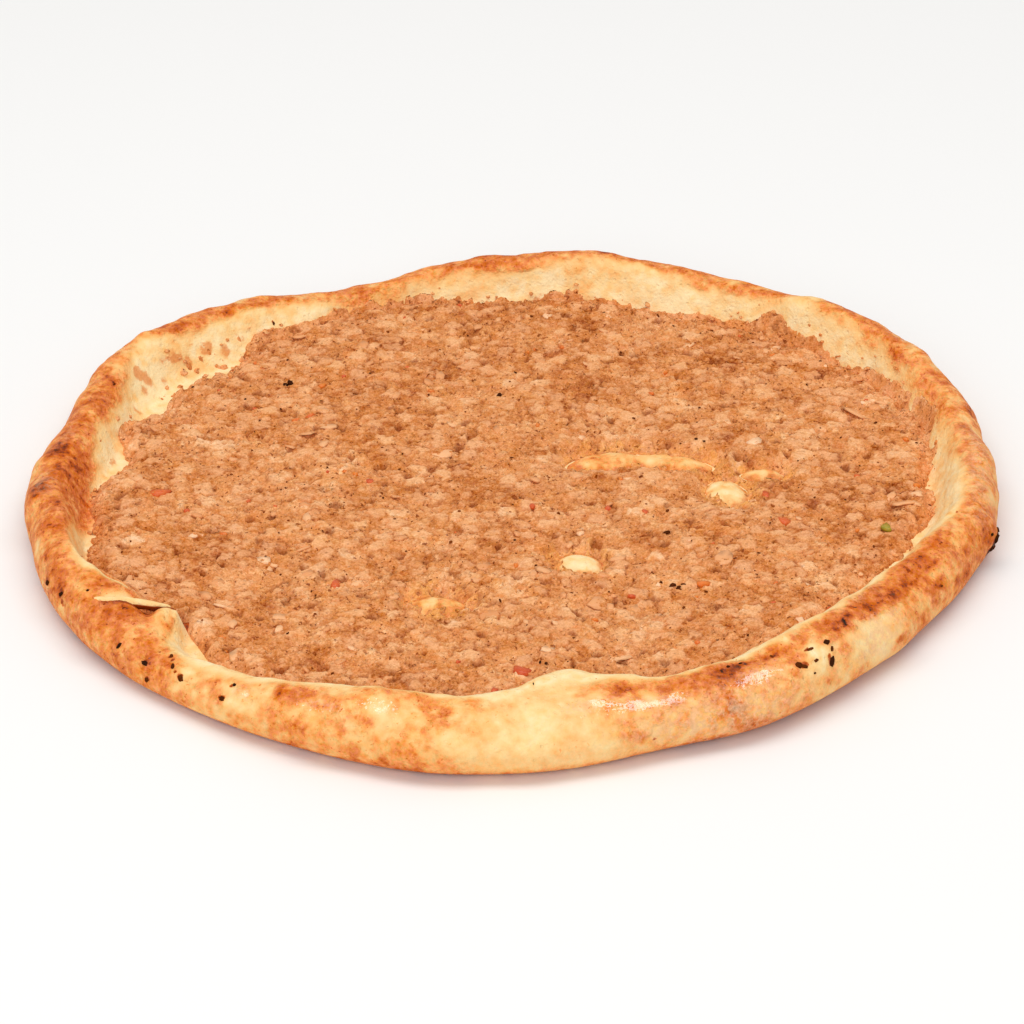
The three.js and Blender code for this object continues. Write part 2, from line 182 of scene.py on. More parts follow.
# Toasted areas: place, across, half along, half across, change of the baking.
TOASTED = (
    (4, 11, 4, 2, 0.1), (8, 13, 6, 1.6, 0.14), (13.5, 8, 5, 2.4, 0.24), (23, 14, 6, 2, 0.08),
    (29, 19, 5, 2, 0.16), (34, 22, 5, 1.6, 0.16), (45, 13, 6, 4, -0.1), (57, 18, 5, 1.4, 0.14),
    (62, 19, 4, 1.2, 0.16), (69, 16, 4, 1.6, 0.12), (77, 14, 2, 3, 0.16), (87, 19.5, 6, 1.4, 0.16),
    (93, 17, 5, 1.6, 0.14), (98, 15, 4, 2, 0.1), (114.5, 16.5, 1.4, 1, 0.24), (119, 15, 3, 1, 0.2),
    (128, 16, 4, 1.6, 0.1), (134, 17, 3, 1.6, 0.14), (139, 20, 4, 1.4, 0.12), (141.8, 18, 4, 2.2, 0.22),
    (149.5, 17, 2, 1.6, 0.2), (158, 17, 2, 1, 0.2), (163, 16, 8, 3, 0.1), (176.5, 13, 6, 3, 0.24),
    (178, 20, 6, 2, 0.06), (182, 17, 6, 3, 0.04), (186, 10.5, 4, 3, 0.24), (189, 8, 12, 6, -0.05),
    (196, 6, 4, 2.5, -0.08), (200.5, 7, 1.5, 1, 0.2), (206, 5, 6, 3, 0.12), (214, 9, 6, 5, 0.08),
    (217, 24, 4, 6, 0.12), (219, 27, 3, 5, -0.4), (228, 4, 4, 3, -0.06), (235.5, 5, 2.6, 2.4, 0.24),
    (238, 2, 5, 2, 0.08), (240, 6, 16, 7, -0.06), (246, 16, 6, 3, 0.08), (251.3, 19, 1, 1.6, 0.22),
    (254.5, 14.5, 4, 3, -0.2), (257, 5, 18, 7, -0.05), (258, 19, 5, 2, 0.08), (262, 7, 8, 4, -0.04),
    (265.5, 20, 3, 1.4, 0.14), (269, 17, 6, 2, 0.06), (272, 7, 6, 4, -0.08),
    (272.8, 25.5, 0.8, 1.6, 0.28), (279, 8, 4, 3, -0.06), (284, 18, 3, 2, 0.12), (285, 2, 4, 2.5, 0.14),
    (288.8, 14, 2.6, 1.4, 0.2), (292, 12, 2, 1.4, 0.1), (295.7, 5.5, 2.6, 2.6, 0.28),
    (297.3, 16.2, 4, 1.8, 0.28), (297.5, -1, 4, 2, 0.1), (299.6, 17.6, 3, 1.6, 0.28),
    (303.4, 16.4, 2.6, 2, 0.3), (306.5, 18, 2, 2, -0.22), (308.6, 9.6, 5, 3.6, -0.34),
    (315, 14.6, 6, 1.6, 0.16), (317, 5, 7, 4, -0.08), (320.5, 13.4, 8, 2.4, 0.18),
    (322, 1.4, 2.4, 1.6, 0.34), (325.5, 12.8, 6, 2.6, 0.18), (327, 5, 14, 4, -0.05),
    (333, 6, 5, 2.4, 0.24), (336, 3, 3, 1.4, 0.22), (339, 1.5, 3, 1.6, 0.2), (342, 7, 4, 1.4, 0.14),
    (346, 3, 5, 3, 0.1), (349, 0, 4, 3, 0.3),
)

# Scorched marks with sharp edges: place, across, half along, half across, strength.
SCORCHED = (
    (13, 8.4, 4, 1, 0.7), (15, 7.4, 3, 1, 0.75), (37, 23.5, 1, 0.5, 0.6), (61.5, 20.4, 1, 0.4, 0.5),
    (114.7, 16.4, 0.6, 0.5, 0.8), (119.5, 15, 1.6, 0.5, 0.6), (127.8, 23, 0.6, 0.7, 0.95),
    (141.8, 18, 2.4, 1.2, 0.7), (157.8, 16.9, 0.9, 0.5, 0.85), (170, 22.4, 1.2, 0.4, 0.7),
    (175.6, 13.6, 1.6, 0.9, 0.6), (176.5, 14.4, 3, 1.2, 0.6), (185, 10, 1.6, 0.9, 0.45),
    (185.8, 10.8, 3, 1.5, 0.75), (200.4, 7.1, 1.1, 0.8, 0.75), (203.2, 3.4, 2.4, 1.4, 0.75),
    (204.4, 6.5, 1.6, 0.9, 0.5), (207, 4.8, 2, 1.3, 0.85), (208, 3, 2.4, 1.2, 0.6),
    (210.2, 11.3, 0.7, 0.7, 0.85), (210.5, 1.2, 1, 0.8, 0.7), (210.6, 7.5, 0.8, 0.6, 0.6),
    (218.6, 8.4, 0.7, 0.7, 0.8), (219.4, 5.2, 1.1, 0.9, 0.95), (220, 22.5, 1, 0.8, 0.6),
    (220.7, 9.4, 0.6, 0.6, 0.6), (224, 5.2, 1, 0.8, 0.95), (224.3, 10.6, 0.6, 0.6, 0.8),
    (225, 1.3, 1, 0.8, 0.95), (226.1, 10.4, 0.9, 0.8, 0.95), (226.8, 9.2, 0.7, 0.8, 0.9),
    (227.6, 7.8, 0.7, 0.8, 0.8), (228.3, 6.8, 0.9, 0.7, 0.9), (229.2, 6.1, 1.2, 0.8, 1),
    (230.2, 5.5, 0.6, 0.5, 0.8), (233.8, 3.9, 0.5, 0.5, 0.8), (235.7, 5, 1.9, 1.2, 0.9),
    (236.4, 9.4, 1.7, 1.1, 0.9), (241, 9.6, 0.5, 0.5, 0.6), (246, 15, 0.5, 0.4, 0.5),
    (249, 4, 0.5, 0.5, 0.6), (251.3, 18.6, 0.6, 1.6, 0.55), (254.7, 18.9, 0.4, 0.4, 0.6),
    (272.8, 25.8, 0.5, 1, 0.8), (281.2, 24, 0.3, 0.8, 0.6), (286.2, 0.6, 0.8, 0.6, 0.8),
    (289, 13.8, 1.8, 0.8, 0.6), (292.3, 12.4, 0.9, 0.5, 0.7), (295.8, 5.2, 1.4, 1.6, 0.5),
    (296.5, 16.6, 1, 0.7, 0.75), (297.8, 17.4, 1, 0.7, 0.6), (298, -0.8, 0.7, 0.6, 0.8),
    (299.2, 18.3, 1.3, 0.7, 0.65), (299.5, 20.5, 0.5, 0.5, 0.7), (300.3, 17.8, 0.7, 0.6, 0.8),
    (302, 14.6, 0.8, 0.5, 0.6), (303.4, 16, 1, 1, 0.8), (306.2, 9.3, 1.8, 0.9, 0.9),
    (307.6, 12.6, 0.8, 0.5, 0.7), (308, 12.2, 1, 0.8, 0.6), (309.8, 7.4, 0.9, 2, 0.85),
    (320.6, 12.8, 1.6, 0.6, 0.5), (322, 0.8, 1.6, 0.8, 0.6), (323.4, 12.6, 0.7, 0.8, 0.85),
    (324.2, 14.8, 1.1, 0.5, 0.7), (325.4, 16, 1, 0.4, 0.6), (326.8, 13.4, 0.6, 1, 0.75),
    (332.8, 5.6, 1.6, 0.7, 0.8), (335.6, 3.6, 1.4, 0.5, 0.6), (339, 1.6, 0.8, 0.6, 0.8),
    (341.3, 5.2, 1.2, 0.4, 0.6), (346, 4, 2.6, 0.8, 0.7), (346, 6.4, 0.9, 0.5, 0.8),
    (347, -2, 3, 1.8, 1.5), (347, 16.6, 1.4, 0.5, 0.6), (348.4, 0.4, 3, 2, 1.6), (350, 3, 2, 0.6, 0.8),
)

# Oily spots that shine: place, across, half along, half across, strength.
OILED = (
    (30, 12, 10, 4, 0.5), (45, 14, 8, 3, 0.4), (238, 7.5, 5, 3, 0.9), (248, 10.5, 9, 2.2, 0.8),
    (255, 13, 6, 2.6, 0.8), (279, 14, 9, 3, 1), (285, 11, 6, 2.6, 1.1), (289, 10.5, 5, 2.2, 1.1),
    (300, 12, 9, 3.2, 1.1), (319.5, 10.5, 5, 2.4, 0.9), (323, 9, 4, 2, 0.7),
)

# Pale patches on the skin, partly its own paler tone and partly painted sheen where a soft reflection
# falls: place, across, half along, half across, strength.
PALE_SKIN_AND_SHEEN = (
    (4, 12, 14, 4, 0.5), (172, 12, 8, 2, 0.3), (184.5, 12, 7, 3.4, 0.4), (294, 3, 26, 7, 0.8),
    (318, 5, 12, 5, 0.7), (322, 19, 10, 2, 0.3), (349, 10, 9, 4, 0.4), (356, 13, 12, 5, 0.5),
)

# ---- Single flecks, bits and crumbs --------------------------------------------------------------

# Burnt flecks on the rim: place, across, half length, half width, and turn from along the rim.
RIM_FLECKS = (
    (203.4, 3.2, 1.1, 0.7, 30), (206.9, 4.8, 1, 0.6, 40), (210.2, 11.2, 0.5, 0.4, 0),
    (219.5, 5.1, 1, 0.7, 70), (224.1, 5.1, 1, 0.7, 0), (225.1, 1.2, 0.9, 0.7, 0),
    (226.2, 10.5, 1, 0.6, -30), (227.5, 7.9, 1.1, 0.6, -40), (229.2, 6.1, 1.5, 0.9, -20),
    (235.7, 4.9, 1, 0.7, 0), (236.5, 9.6, 0.7, 0.5, 0), (297.8, 17.6, 0.5, 0.4, 0),
    (299.4, 18.2, 0.6, 0.4, 0), (303.5, 16.2, 0.5, 0.4, 0), (333, 5.3, 0.6, 0.4, 0),
    (348.2, 1, 1.3, 0.9, 60), (349, 2.8, 0.9, 0.7, 30), (347.3, -1, 1.3, 0.9, 0),
    (348.8, -2.4, 1, 0.8, 0), (347, 3.4, 0.7, 0.5, 0), (157.8, 16.9, 0.5, 0.3, 0),
    (127.8, 23, 0.8, 0.4, 80), (272.8, 26, 0.5, 0.2, 90), (306, 9.2, 1.9, 0.7, -43),
    (305.5, 10.2, 1, 0.9, -43), (309.8, 7, 1.6, 0.8, 60), (310.6, 9.8, 0.8, 0.5, 50),
    (307.9, 8.9, 0.7, 0.5, 20), (308.1, 12.4, 1, 0.6, -10), (310.8, 12, 1.2, 0.8, 30),
    (307.2, 6.2, 0.4, 0.3, 0),
)

# Burnt bits in the mince: x, y, size.
MINCE_FLECKS = (
    (-66.9, 60.5, 1.5), (-68.2, 60, 1), (-85.8, 47.5, 1), (-80, 50.6, 1), (-96.1, 57.4, 0.8),
    (7.8, -94.6, 1), (9.4, -95.3, 0.8), (44, -25.9, 1.2), (56.9, 24.7, 1.2), (54.6, 26.2, 1),
    (41.6, -52.2, 1.2), (44.9, -53.7, 1.8), (46.4, -54.6, 1.5), (47.6, -53.2, 1.3), (-3.6, 52.4, 1.3),
)

# Red, orange and green bits: x, y, half length, hue from 0, red, over 0.5, orange, to 1, green.
NAMED_PEPPERS = (
    (-101.2, -4.8, 3.4, 0.25), (73.5, -4.2, 2, 0.2), (78, -20.4, 2.4, 0.25), (38.4, -13.7, 1.6, 0.2),
    (-48.5, -53.7, 2.8, 0.2), (2.9, -98, 3.2, 0.1), (106.5, -23.7, 2.6, 0.9), (53.4, -53.4, 2.4, 0.45),
    (97.6, -57.8, 1.8, 0.2), (28, -12, 1.4, 0.15), (-60, 41, 1.6, 0.3), (88, -64, 2.4, 0.2),
)

# Large onion flakes: x, y, half length.
NAMED_ONIONS = (
    (103.4, 42, 5), (28, -90.7, 4.6), (59.7, -40.5, 3.6), (24.2, -63, 3.6), (9.2, -47.4, 3),
    (112.8, -10.9, 3.2), (-6, -69.1, 3.4), (-72, -88, 4.4), (-60, 30, 3.8), (-20, 20, 4),
)

# ---- Seeded noise and cells ---------------------------------------------------------------------

LATTICE = 32  # corners each way, after which the noise repeats
CELL_TABLE = 64  # cells each way, after which they repeat


def soft_noise(points, size, seed):
    """Smooth noise of about -1 to 1: random slopes on the corners of a lattice, each slope times the
    way from its corner, blended with the curve 6t^5 - 15t^4 + 10t^3 between the corners."""
    slopes = np.random.default_rng(seed).normal(size=(LATTICE,) * 3 + (3,))
    slopes /= np.linalg.norm(slopes, axis=-1, keepdims=True)
    place = points / size
    corner = np.floor(place).astype(np.int64)
    share = place - corner
    blend = share**3 * (share * (share * 6 - 15) + 10)
    total = np.zeros(points.shape[:-1])
    for step in product((0, 1), repeat=3):
        index = (corner + step) % LATTICE
        slope = slopes[index[..., 0], index[..., 1], index[..., 2]]
        weight = np.prod(np.where(step, blend, 1 - blend), axis=-1)
        total += weight * np.sum(slope * (share - step), axis=-1)
    return 1.6 * total


def flat_noise(x, y, size, seed):
    """The same noise on a level plane."""
    return soft_noise(np.stack([x, y, np.full(np.shape(x), 0.37 * size)], axis=-1), size, seed)


def cells(x, y, size, seed):
    """Cells round jittered points of a square lattice. Gives each place the way from its own cell's
    point, three random numbers of that cell, and how far it is from the cell's border: 0 at the border
    and 1 at the point, worked out as (second - first) / (second + first) distance."""
    table = np.random.default_rng(seed).uniform(size=(CELL_TABLE, CELL_TABLE, 5))
    u, v = x / size, y / size
    column, row = np.floor(u).astype(np.int64), np.floor(v).astype(np.int64)
    first = np.full(x.shape, np.inf)
    second = np.full(x.shape, np.inf)
    away = np.zeros(x.shape + (2,))
    chance = np.zeros(x.shape + (3,))
    for i, j in product((-1, 0, 1), repeat=2):
        entry = table[(row + j) % CELL_TABLE, (column + i) % CELL_TABLE]
        du = column + i + 0.1 + 0.8 * entry[..., 0] - u
        dv = row + j + 0.1 + 0.8 * entry[..., 1] - v
        distance = np.hypot(du, dv)
        nearer = distance < first
        second = np.where(nearer, first, np.minimum(second, distance))
        first = np.where(nearer, distance, first)
        away[nearer] = np.stack([-du * size, -dv * size], axis=-1)[nearer]
        chance[nearer] = entry[nearer][..., 2:]
    return SimpleNamespace(inside=(second - first) / (second + first), away=away, chance=chance)


def smoothstep(value, low, high):
    """3t^2 - 2t^3, where t runs from 0 at `low` to 1 at `high`, which may be the smaller one."""
    share = np.clip((value - low) / (high - low), 0, 1)
    return share * share * (3 - 2 * share)


def swell(degrees, usual, swells):
    """The usual value plus, for each swell, change * exp(-(away / spread)^2 / 2)."""
    value = np.full(np.shape(degrees), float(usual))
    for place, spread, change in swells:
        away = (degrees - place + 180) % 360 - 180
        value += change * np.exp(-0.5 * (away / spread) ** 2)
    return value


# ---- The bread ----------------------------------------------------------------------------------

UNDER_ROWS, CURL_ROWS, SHOULDER_ROWS, SLOPE_ROWS, BARE_ROWS, MIDDLE_ROWS = 4, 9, 34, 30, 17, 4
RIM_COLUMNS = 1000


def bread_sizes():
    """The bread's driving sizes in millimetres, as the user set them."""
    sizes = bpy.context.scene.lahmacun_bread
    names = ("half_length", "half_width", "rim_height", "rim_width", "crest_inset", "dough_thickness")
    return SimpleNamespace(**{name: getattr(sizes, name) / MM for name in names})


def rim_at(degrees):
    """The rim's sizes at each place. The outside is an ellipse, and every size has its swells."""
    bread = bread_sizes()
    angle = np.radians(degrees)
    across = np.hypot(bread.half_width * np.cos(angle), bread.half_length * np.sin(angle))
    outside = bread.half_length * bread.half_width / across
    return SimpleNamespace(
        degrees=degrees,
        angle=angle,
        floor=bread.dough_thickness,
        radius=swell(degrees, 0, OUTLINE_SWELLS) + outside,
        crest=swell(degrees, bread.rim_height, CREST_SWELLS),
        width=swell(degrees, bread.rim_width, WIDTH_SWELLS),
        inset=swell(degrees, bread.crest_inset, CREST_INSET_SWELLS),
        lift=swell(degrees, 0, LIFT_SWELLS),
    )


def slope_fall(rim, share):
    """Height of the dough at a share of the way down the rim's inner slope: half a cosine wave of
    share^SLOPE_POWER, from the crest to the level dough."""
    return rim.floor + (rim.crest - rim.floor) * 0.5 * (1 + np.cos(np.pi * share**SLOPE_POWER))


def rim_section(rim):
    """Insets and heights of the section, one row for each step: straight out along the underside, a
    quarter turn up to the widest place, a slightly squared quarter turn to the crest, the fall down the
    inner slope, and level dough towards the middle."""
    belly = BELLY * rim.crest
    flat = np.linspace(0, 1, UNDER_ROWS + 1)[1:, None]
    curl = np.linspace(-np.pi / 2, 0, CURL_ROWS)[:, None]
    turn = np.linspace(0, np.pi / 2, SHOULDER_ROWS + 1)[1:, None]
    share = np.linspace(0, 1, SLOPE_ROWS + 1)[1:, None]
    bare = np.linspace(0, 1, BARE_ROWS + 1)[1:, None]
    rest = np.linspace(0, 1, MIDDLE_ROWS + 2)[1:-1, None]
    level = np.full(rim.radius.shape, rim.floor)
    parts = (
        (rim.radius + (FLAT_UNDERSIDE - rim.radius) * flat, 0 * level * flat),
        (UNDERCUT * (1 - np.cos(curl)), belly + (belly - rim.lift) * np.sin(curl)),
        (
            rim.inset * (1 - np.maximum(0, np.cos(turn)) ** 0.9),
            belly + (rim.crest - belly) * np.sin(turn) ** 0.95,
        ),
        (rim.inset + (rim.width - rim.inset) * share, slope_fall(rim, share)),
        (rim.width + (BARE_REACH - rim.width) * bare, level + 0 * bare),
        (BARE_REACH + (rim.radius - BARE_REACH) * rest, level + 0 * rest),
    )
    whole = [(inset + 0 * level, height + 0 * level) for inset, height in parts]
    return (np.concatenate(column) for column in zip(*whole))


def surface_normals(points):
    """Unit normals of a grid whose rows run along its first axis and whose columns close on themselves:
    the cross product of the steps to the next column and to the next row."""
    down = np.gradient(points, axis=0)
    round_ = np.roll(points, -1, axis=1) - np.roll(points, 1, axis=1)
    normal = np.cross(round_, down)
    return normal / np.maximum(np.linalg.norm(normal, axis=-1, keepdims=True), 1e-9)


def marks(skin, entries, power=1.0):
    """Sum over the entries of strength * exp(-(distance in half sizes)^(2 * power)), on the skin."""
    total = np.zeros(skin.across.shape)
    for place, across, half_along, half_across, strength in entries:
        along = np.radians((skin.degrees - place + 180) % 360 - 180) * skin.radius
        columns = np.flatnonzero(np.abs(along) < MARK_REACH * half_along)
        reach = (along[columns] / half_along) ** 2
        distance = reach + ((skin.across[:, columns] - across) / half_across) ** 2
        total[:, columns] += strength * np.exp(-(distance**power))
    return total


def bread_skin():
    """The bread's skin as a closed grid of points, with its normals, baking, scorching and the crease's
    painted shade, oil, pale skin with painted sheen, and stains. `over` is the inset past the crest's,
    and far below 0 under the widest place.

    Each point is the section's point, raised at the flap and lowered behind the crease, then moved
    along its normal by waves, by noise and by the lumps, and inwards at scorched marks. Noise fades on
    the underside and on the level dough, and no point goes below the ground."""
    rim = rim_at(np.arange(RIM_COLUMNS) * 360 / RIM_COLUMNS)
    inset, height = rim_section(rim)
    reach = rim.radius - inset
    points = np.stack([reach * np.cos(rim.angle), reach * np.sin(rim.angle), height], axis=-1)
    step = np.hypot(np.diff(inset, axis=0), np.diff(height, axis=0))
    across = np.concatenate([np.zeros((1, RIM_COLUMNS)), np.cumsum(step, axis=0)])
    across -= across[UNDER_ROWS + CURL_ROWS - 1]
    skin = SimpleNamespace(degrees=rim.degrees, radius=rim.radius, across=across, rim=rim)
    skin.over = np.where(across < 0, -30, inset - rim.inset)
    loose = smoothstep(height, 0.3, 4) * (0.25 + 0.75 * smoothstep(height, rim.floor + 0.2, 9))
    marked = ragged_marks(skin, points, SCORCHED, SCORCH_SHIFT)
    shift = loose * skin_swelling(points, inset) + marks(skin, SKIN_LUMPS)
    shift -= SCORCH_DEPTH * np.clip(marked, 0, 1)
    crease_shade, ground, flap = crease(points)
    points[..., 2] += FLAP_RISE * flap - CREASE_DROP * ground
    skin.points = points + surface_normals(points) * shift[..., None]
    skin.points[..., 2] = np.maximum(skin.points[..., 2], 0)
    skin.normals = surface_normals(skin.points)
    # The scorch field also carries the crease's painted shade: a dark line where the crease's shade falls.
    skin.scorch = np.maximum(marked, CREASE_SHADE * crease_shade)
    skin.bake = baking(skin) * (1 - (1 - BEHIND_CREASE) * ground)
    skin.oil = np.clip(marks(skin, OILED), 0, 1)
    # Pale patches: partly the skin's own paler tone, partly painted sheen.
    skin.pale = np.clip(marks(skin, PALE_SKIN_AND_SHEEN), 0, 1)
    skin.stain = ragged_marks(skin, points, STAINS, STAIN_SHIFT)
    return skin


def ragged_marks(skin, points, entries, amount):
    """Marks with sharper outlines, whose places noise shifts by `amount` and whose strength it varies."""
    shifted = SimpleNamespace(
        degrees=skin.degrees, radius=skin.radius, across=skin.across + amount * soft_noise(points, 2.6, 15)
    )
    return marks(shifted, entries, 1.3) * (1 + 0.6 * soft_noise(points, 1.7, 16))


def crease_place(x, y):
    """Share of the way along the crease's line, and distance behind that line in millimetres."""
    start, end = np.array(CREASE_FROM), np.array(CREASE_TO)
    way = end - start
    length = np.hypot(*way)
    offset_x, offset_y = x - start[0], y - start[1]
    along = (offset_x * way[0] + offset_y * way[1]) / length**2
    return along, (offset_y * way[0] - offset_x * way[1]) / length


def crease(points):
    """The fold, seen from above, as three masks of 0 to 1: painted shade along the crease's line, where
    the crease's shade falls, the ground behind it, and the flap in front of it. Each is a product of
    smooth steps along the line and behind it."""
    along, behind = crease_place(points[..., 0], points[..., 1])
    window = smoothstep(along, -0.05, 0.1) * smoothstep(along, 1.12, 1)
    # Painted shade: a dark line along the front of the crease's line.
    crease_shade = np.exp(-(((behind + 0.5) / CREASE_SHADE_HALF) ** 2)) * window * smoothstep(along, -0.05, 0.3)
    ground = smoothstep(behind, -0.2, 0.8) * smoothstep(behind, 8, 3) * window
    flap = smoothstep(along, 0.6, 0.95) * smoothstep(along, 1.16, 1.02)
    flap = flap * smoothstep(behind, 0.4, -0.3) * smoothstep(behind, -12, -2)
    return crease_shade, ground, flap


def skin_swelling(points, inset):
    """Height of the skin's unevenness in millimetres: the mean of the waves' sines, and noise."""
    angle = np.arctan2(points[..., 1], points[..., 0])
    waves = sum(np.sin(count * angle + lean * inset + phase) for count, lean, phase in SKIN_WAVES)
    lumps = sum(height * soft_noise(points, size, seed) for size, height, seed in SKIN_NOISE)
    return WAVE_HEIGHT * waves / len(SKIN_WAVES) + lumps


def streaks(skin, size, seed):
    """Noise drawn out across the rim: its place is the outline's point at that angle, and STREAK_PULL
    times the way across."""
    angle = np.radians(skin.degrees)
    outline = skin.radius * np.stack([np.cos(angle), np.sin(angle)])
    place = np.stack(np.broadcast_arrays(*outline, STREAK_PULL * skin.across), axis=-1)
    return soft_noise(place, size, seed)


def baking(skin):
    """How far the skin is baked. The wall and the band along the crest have their own values round the
    rim. The band ends in a ragged line, past which the dough is cream. A browner edge runs under the
    wall, partly real browning and partly painted contact shade, and toasted areas, streaks and noise
    come on top."""
    wall = swell(skin.degrees, WALL_BAKE, WALL_BAKE_SWELLS)
    crest = swell(skin.degrees, CREST_BAKE, CREST_BAKE_SWELLS)
    reach = swell(skin.degrees, BAND_REACH, BAND_REACH_SWELLS)
    noise_sizes = ((13, 21), (5.5, 22), (2.4, 23))
    large, middle, small = (soft_noise(skin.points, size, seed) for size, seed in noise_sizes)
    flames = streaks(skin, 4.6, 24)
    over = skin.over - reach + 0.7 * flames + 2.2 * middle + 0.9 * small
    band = smoothstep(skin.over, -9, -4)
    inner = smoothstep(over, -1.4, 2.8)
    bake = wall + (crest - wall) * band
    cream = CREAM_BAKE + 0.13 * large + 0.12 * middle + 0.06 * flames + 0.12 * small
    rough = 0.17 * large + 0.17 * middle + 0.03 * flames + 0.11 * small
    bake += rough * (0.35 + 0.65 * smoothstep(bake, 0.15, 0.42))
    limit = WALL_LIMIT + (BAND_LIMIT - WALL_LIMIT) * band
    bake = np.where(bake > limit, limit + 0.35 * (bake - limit), bake)
    bake = bake * (1 - inner) + np.clip(cream, 0, 0.45) * inner
    # Browner edge under the wall: partly real browning, partly painted contact shade.
    bake += EDGE_BAKE_AND_SHADE * smoothstep(-skin.across, 1.5, 6)
    bake += ragged_marks(skin, skin.points, TOASTED, TOAST_SHIFT)
    return np.clip(bake, 0, BROWNEST)


# ---- The mince ----------------------------------------------------------------------------------

MINCE_TOP = 8.8  # its mean surface
MINCE_BORDER = 7  # usual way from the crest down the inner slope to the mince
MINCE_EDGE = 6  # width over which the mince thins out
FILM = 1.0  # thickness of the thin layer of mince on the slope
MINCE_UNDERSIDE = 3  # level of its closed underside, hidden in the dough
HIDDEN = 2.4  # how deep under the dough the surface lies outside the border
BARE_DIP = 0.5  # how much thinner the mince is beside a dough bubble
DIP_MARGIN = 3  # how far that reaches from the bubble
MINCE_STEPS = 616  # cells across the whole mince
CLUMPS, LARGE_FLAKES, CHIPS, GRANULES, HOLES = 3.4, 5.2, 2.7, 1.25, 7  # sizes of its cells
FLAKE_SHARE = 0.28  # share of the large cells and of the chips that are onion


def slope_height(inset, rim):
    """Height of the dough under the mince: the rim's inner slope, then the level dough."""
    return slope_fall(rim, np.clip((inset - rim.inset) / (rim.width - rim.inset), 0, 1))


def inside_the_border(inset, rim):
    """How far inside the mince's smooth border a place is."""
    return inset - rim.inset - swell(rim.degrees, MINCE_BORDER, BORDER_SWELLS)


def bubble_surface(x, y, share, rise):
    """Height of a bubble's skin: over its root, (1 - share^2)^0.6 of its full height, which noise of two
    sizes makes uneven. The share is 0 at the middle and 1 at the outline."""
    uneven = 0.5 * flat_noise(x, y, 5, 54) + 0.24 * flat_noise(x, y, 1.9, 55)
    swelling = np.clip(1 - share**2, 0, 1) ** 0.6
    return bread_sizes().dough_thickness - ROOT + swelling * (rise + ROOT + uneven)


def bubble_field(x, y):
    """Distance outside the nearest bubble's outline in millimetres, distance outside the line to which
    the mince laps over it, and the bubbles' height. A bubble is an ellipse in plan, and the
    distance from it is (share - 1) over the length of the share's gradient."""
    outside, lapped = np.full((2,) + np.shape(x), 99.0)
    height = np.zeros(np.shape(x))
    for (middle_x, middle_y), (half_length, half_width), turn, rise, lap, _ in BUBBLES:
        cos, sin = np.cos(np.radians(turn)), np.sin(np.radians(turn))
        along = (x - middle_x) * cos + (y - middle_y) * sin
        aside = (y - middle_y) * cos - (x - middle_x) * sin
        share = np.hypot(along / half_length, aside / half_width)
        slope = np.hypot(along / half_length**2, aside / half_width**2) / np.maximum(share, 0.001)
        away = (share - 1) / np.maximum(slope, 1 / half_length)
        outside = np.minimum(outside, away)
        lapped = np.minimum(lapped, away + lap)
        height = np.maximum(height, bubble_surface(x, y, share, rise))
    return outside, lapped, height


def scrap_field(x, y):
    """How far inside the nearest scrap's oval outline a place is, in millimetres."""
    inside = np.full(np.shape(x), -99.0)
    for middle_x, middle_y, half_x, half_y in SCRAPS:
        share = np.hypot((x - middle_x) / half_x, (y - middle_y) / half_y)
        inside = np.maximum(inside, (1 - share) * min(half_x, half_y))
    return inside


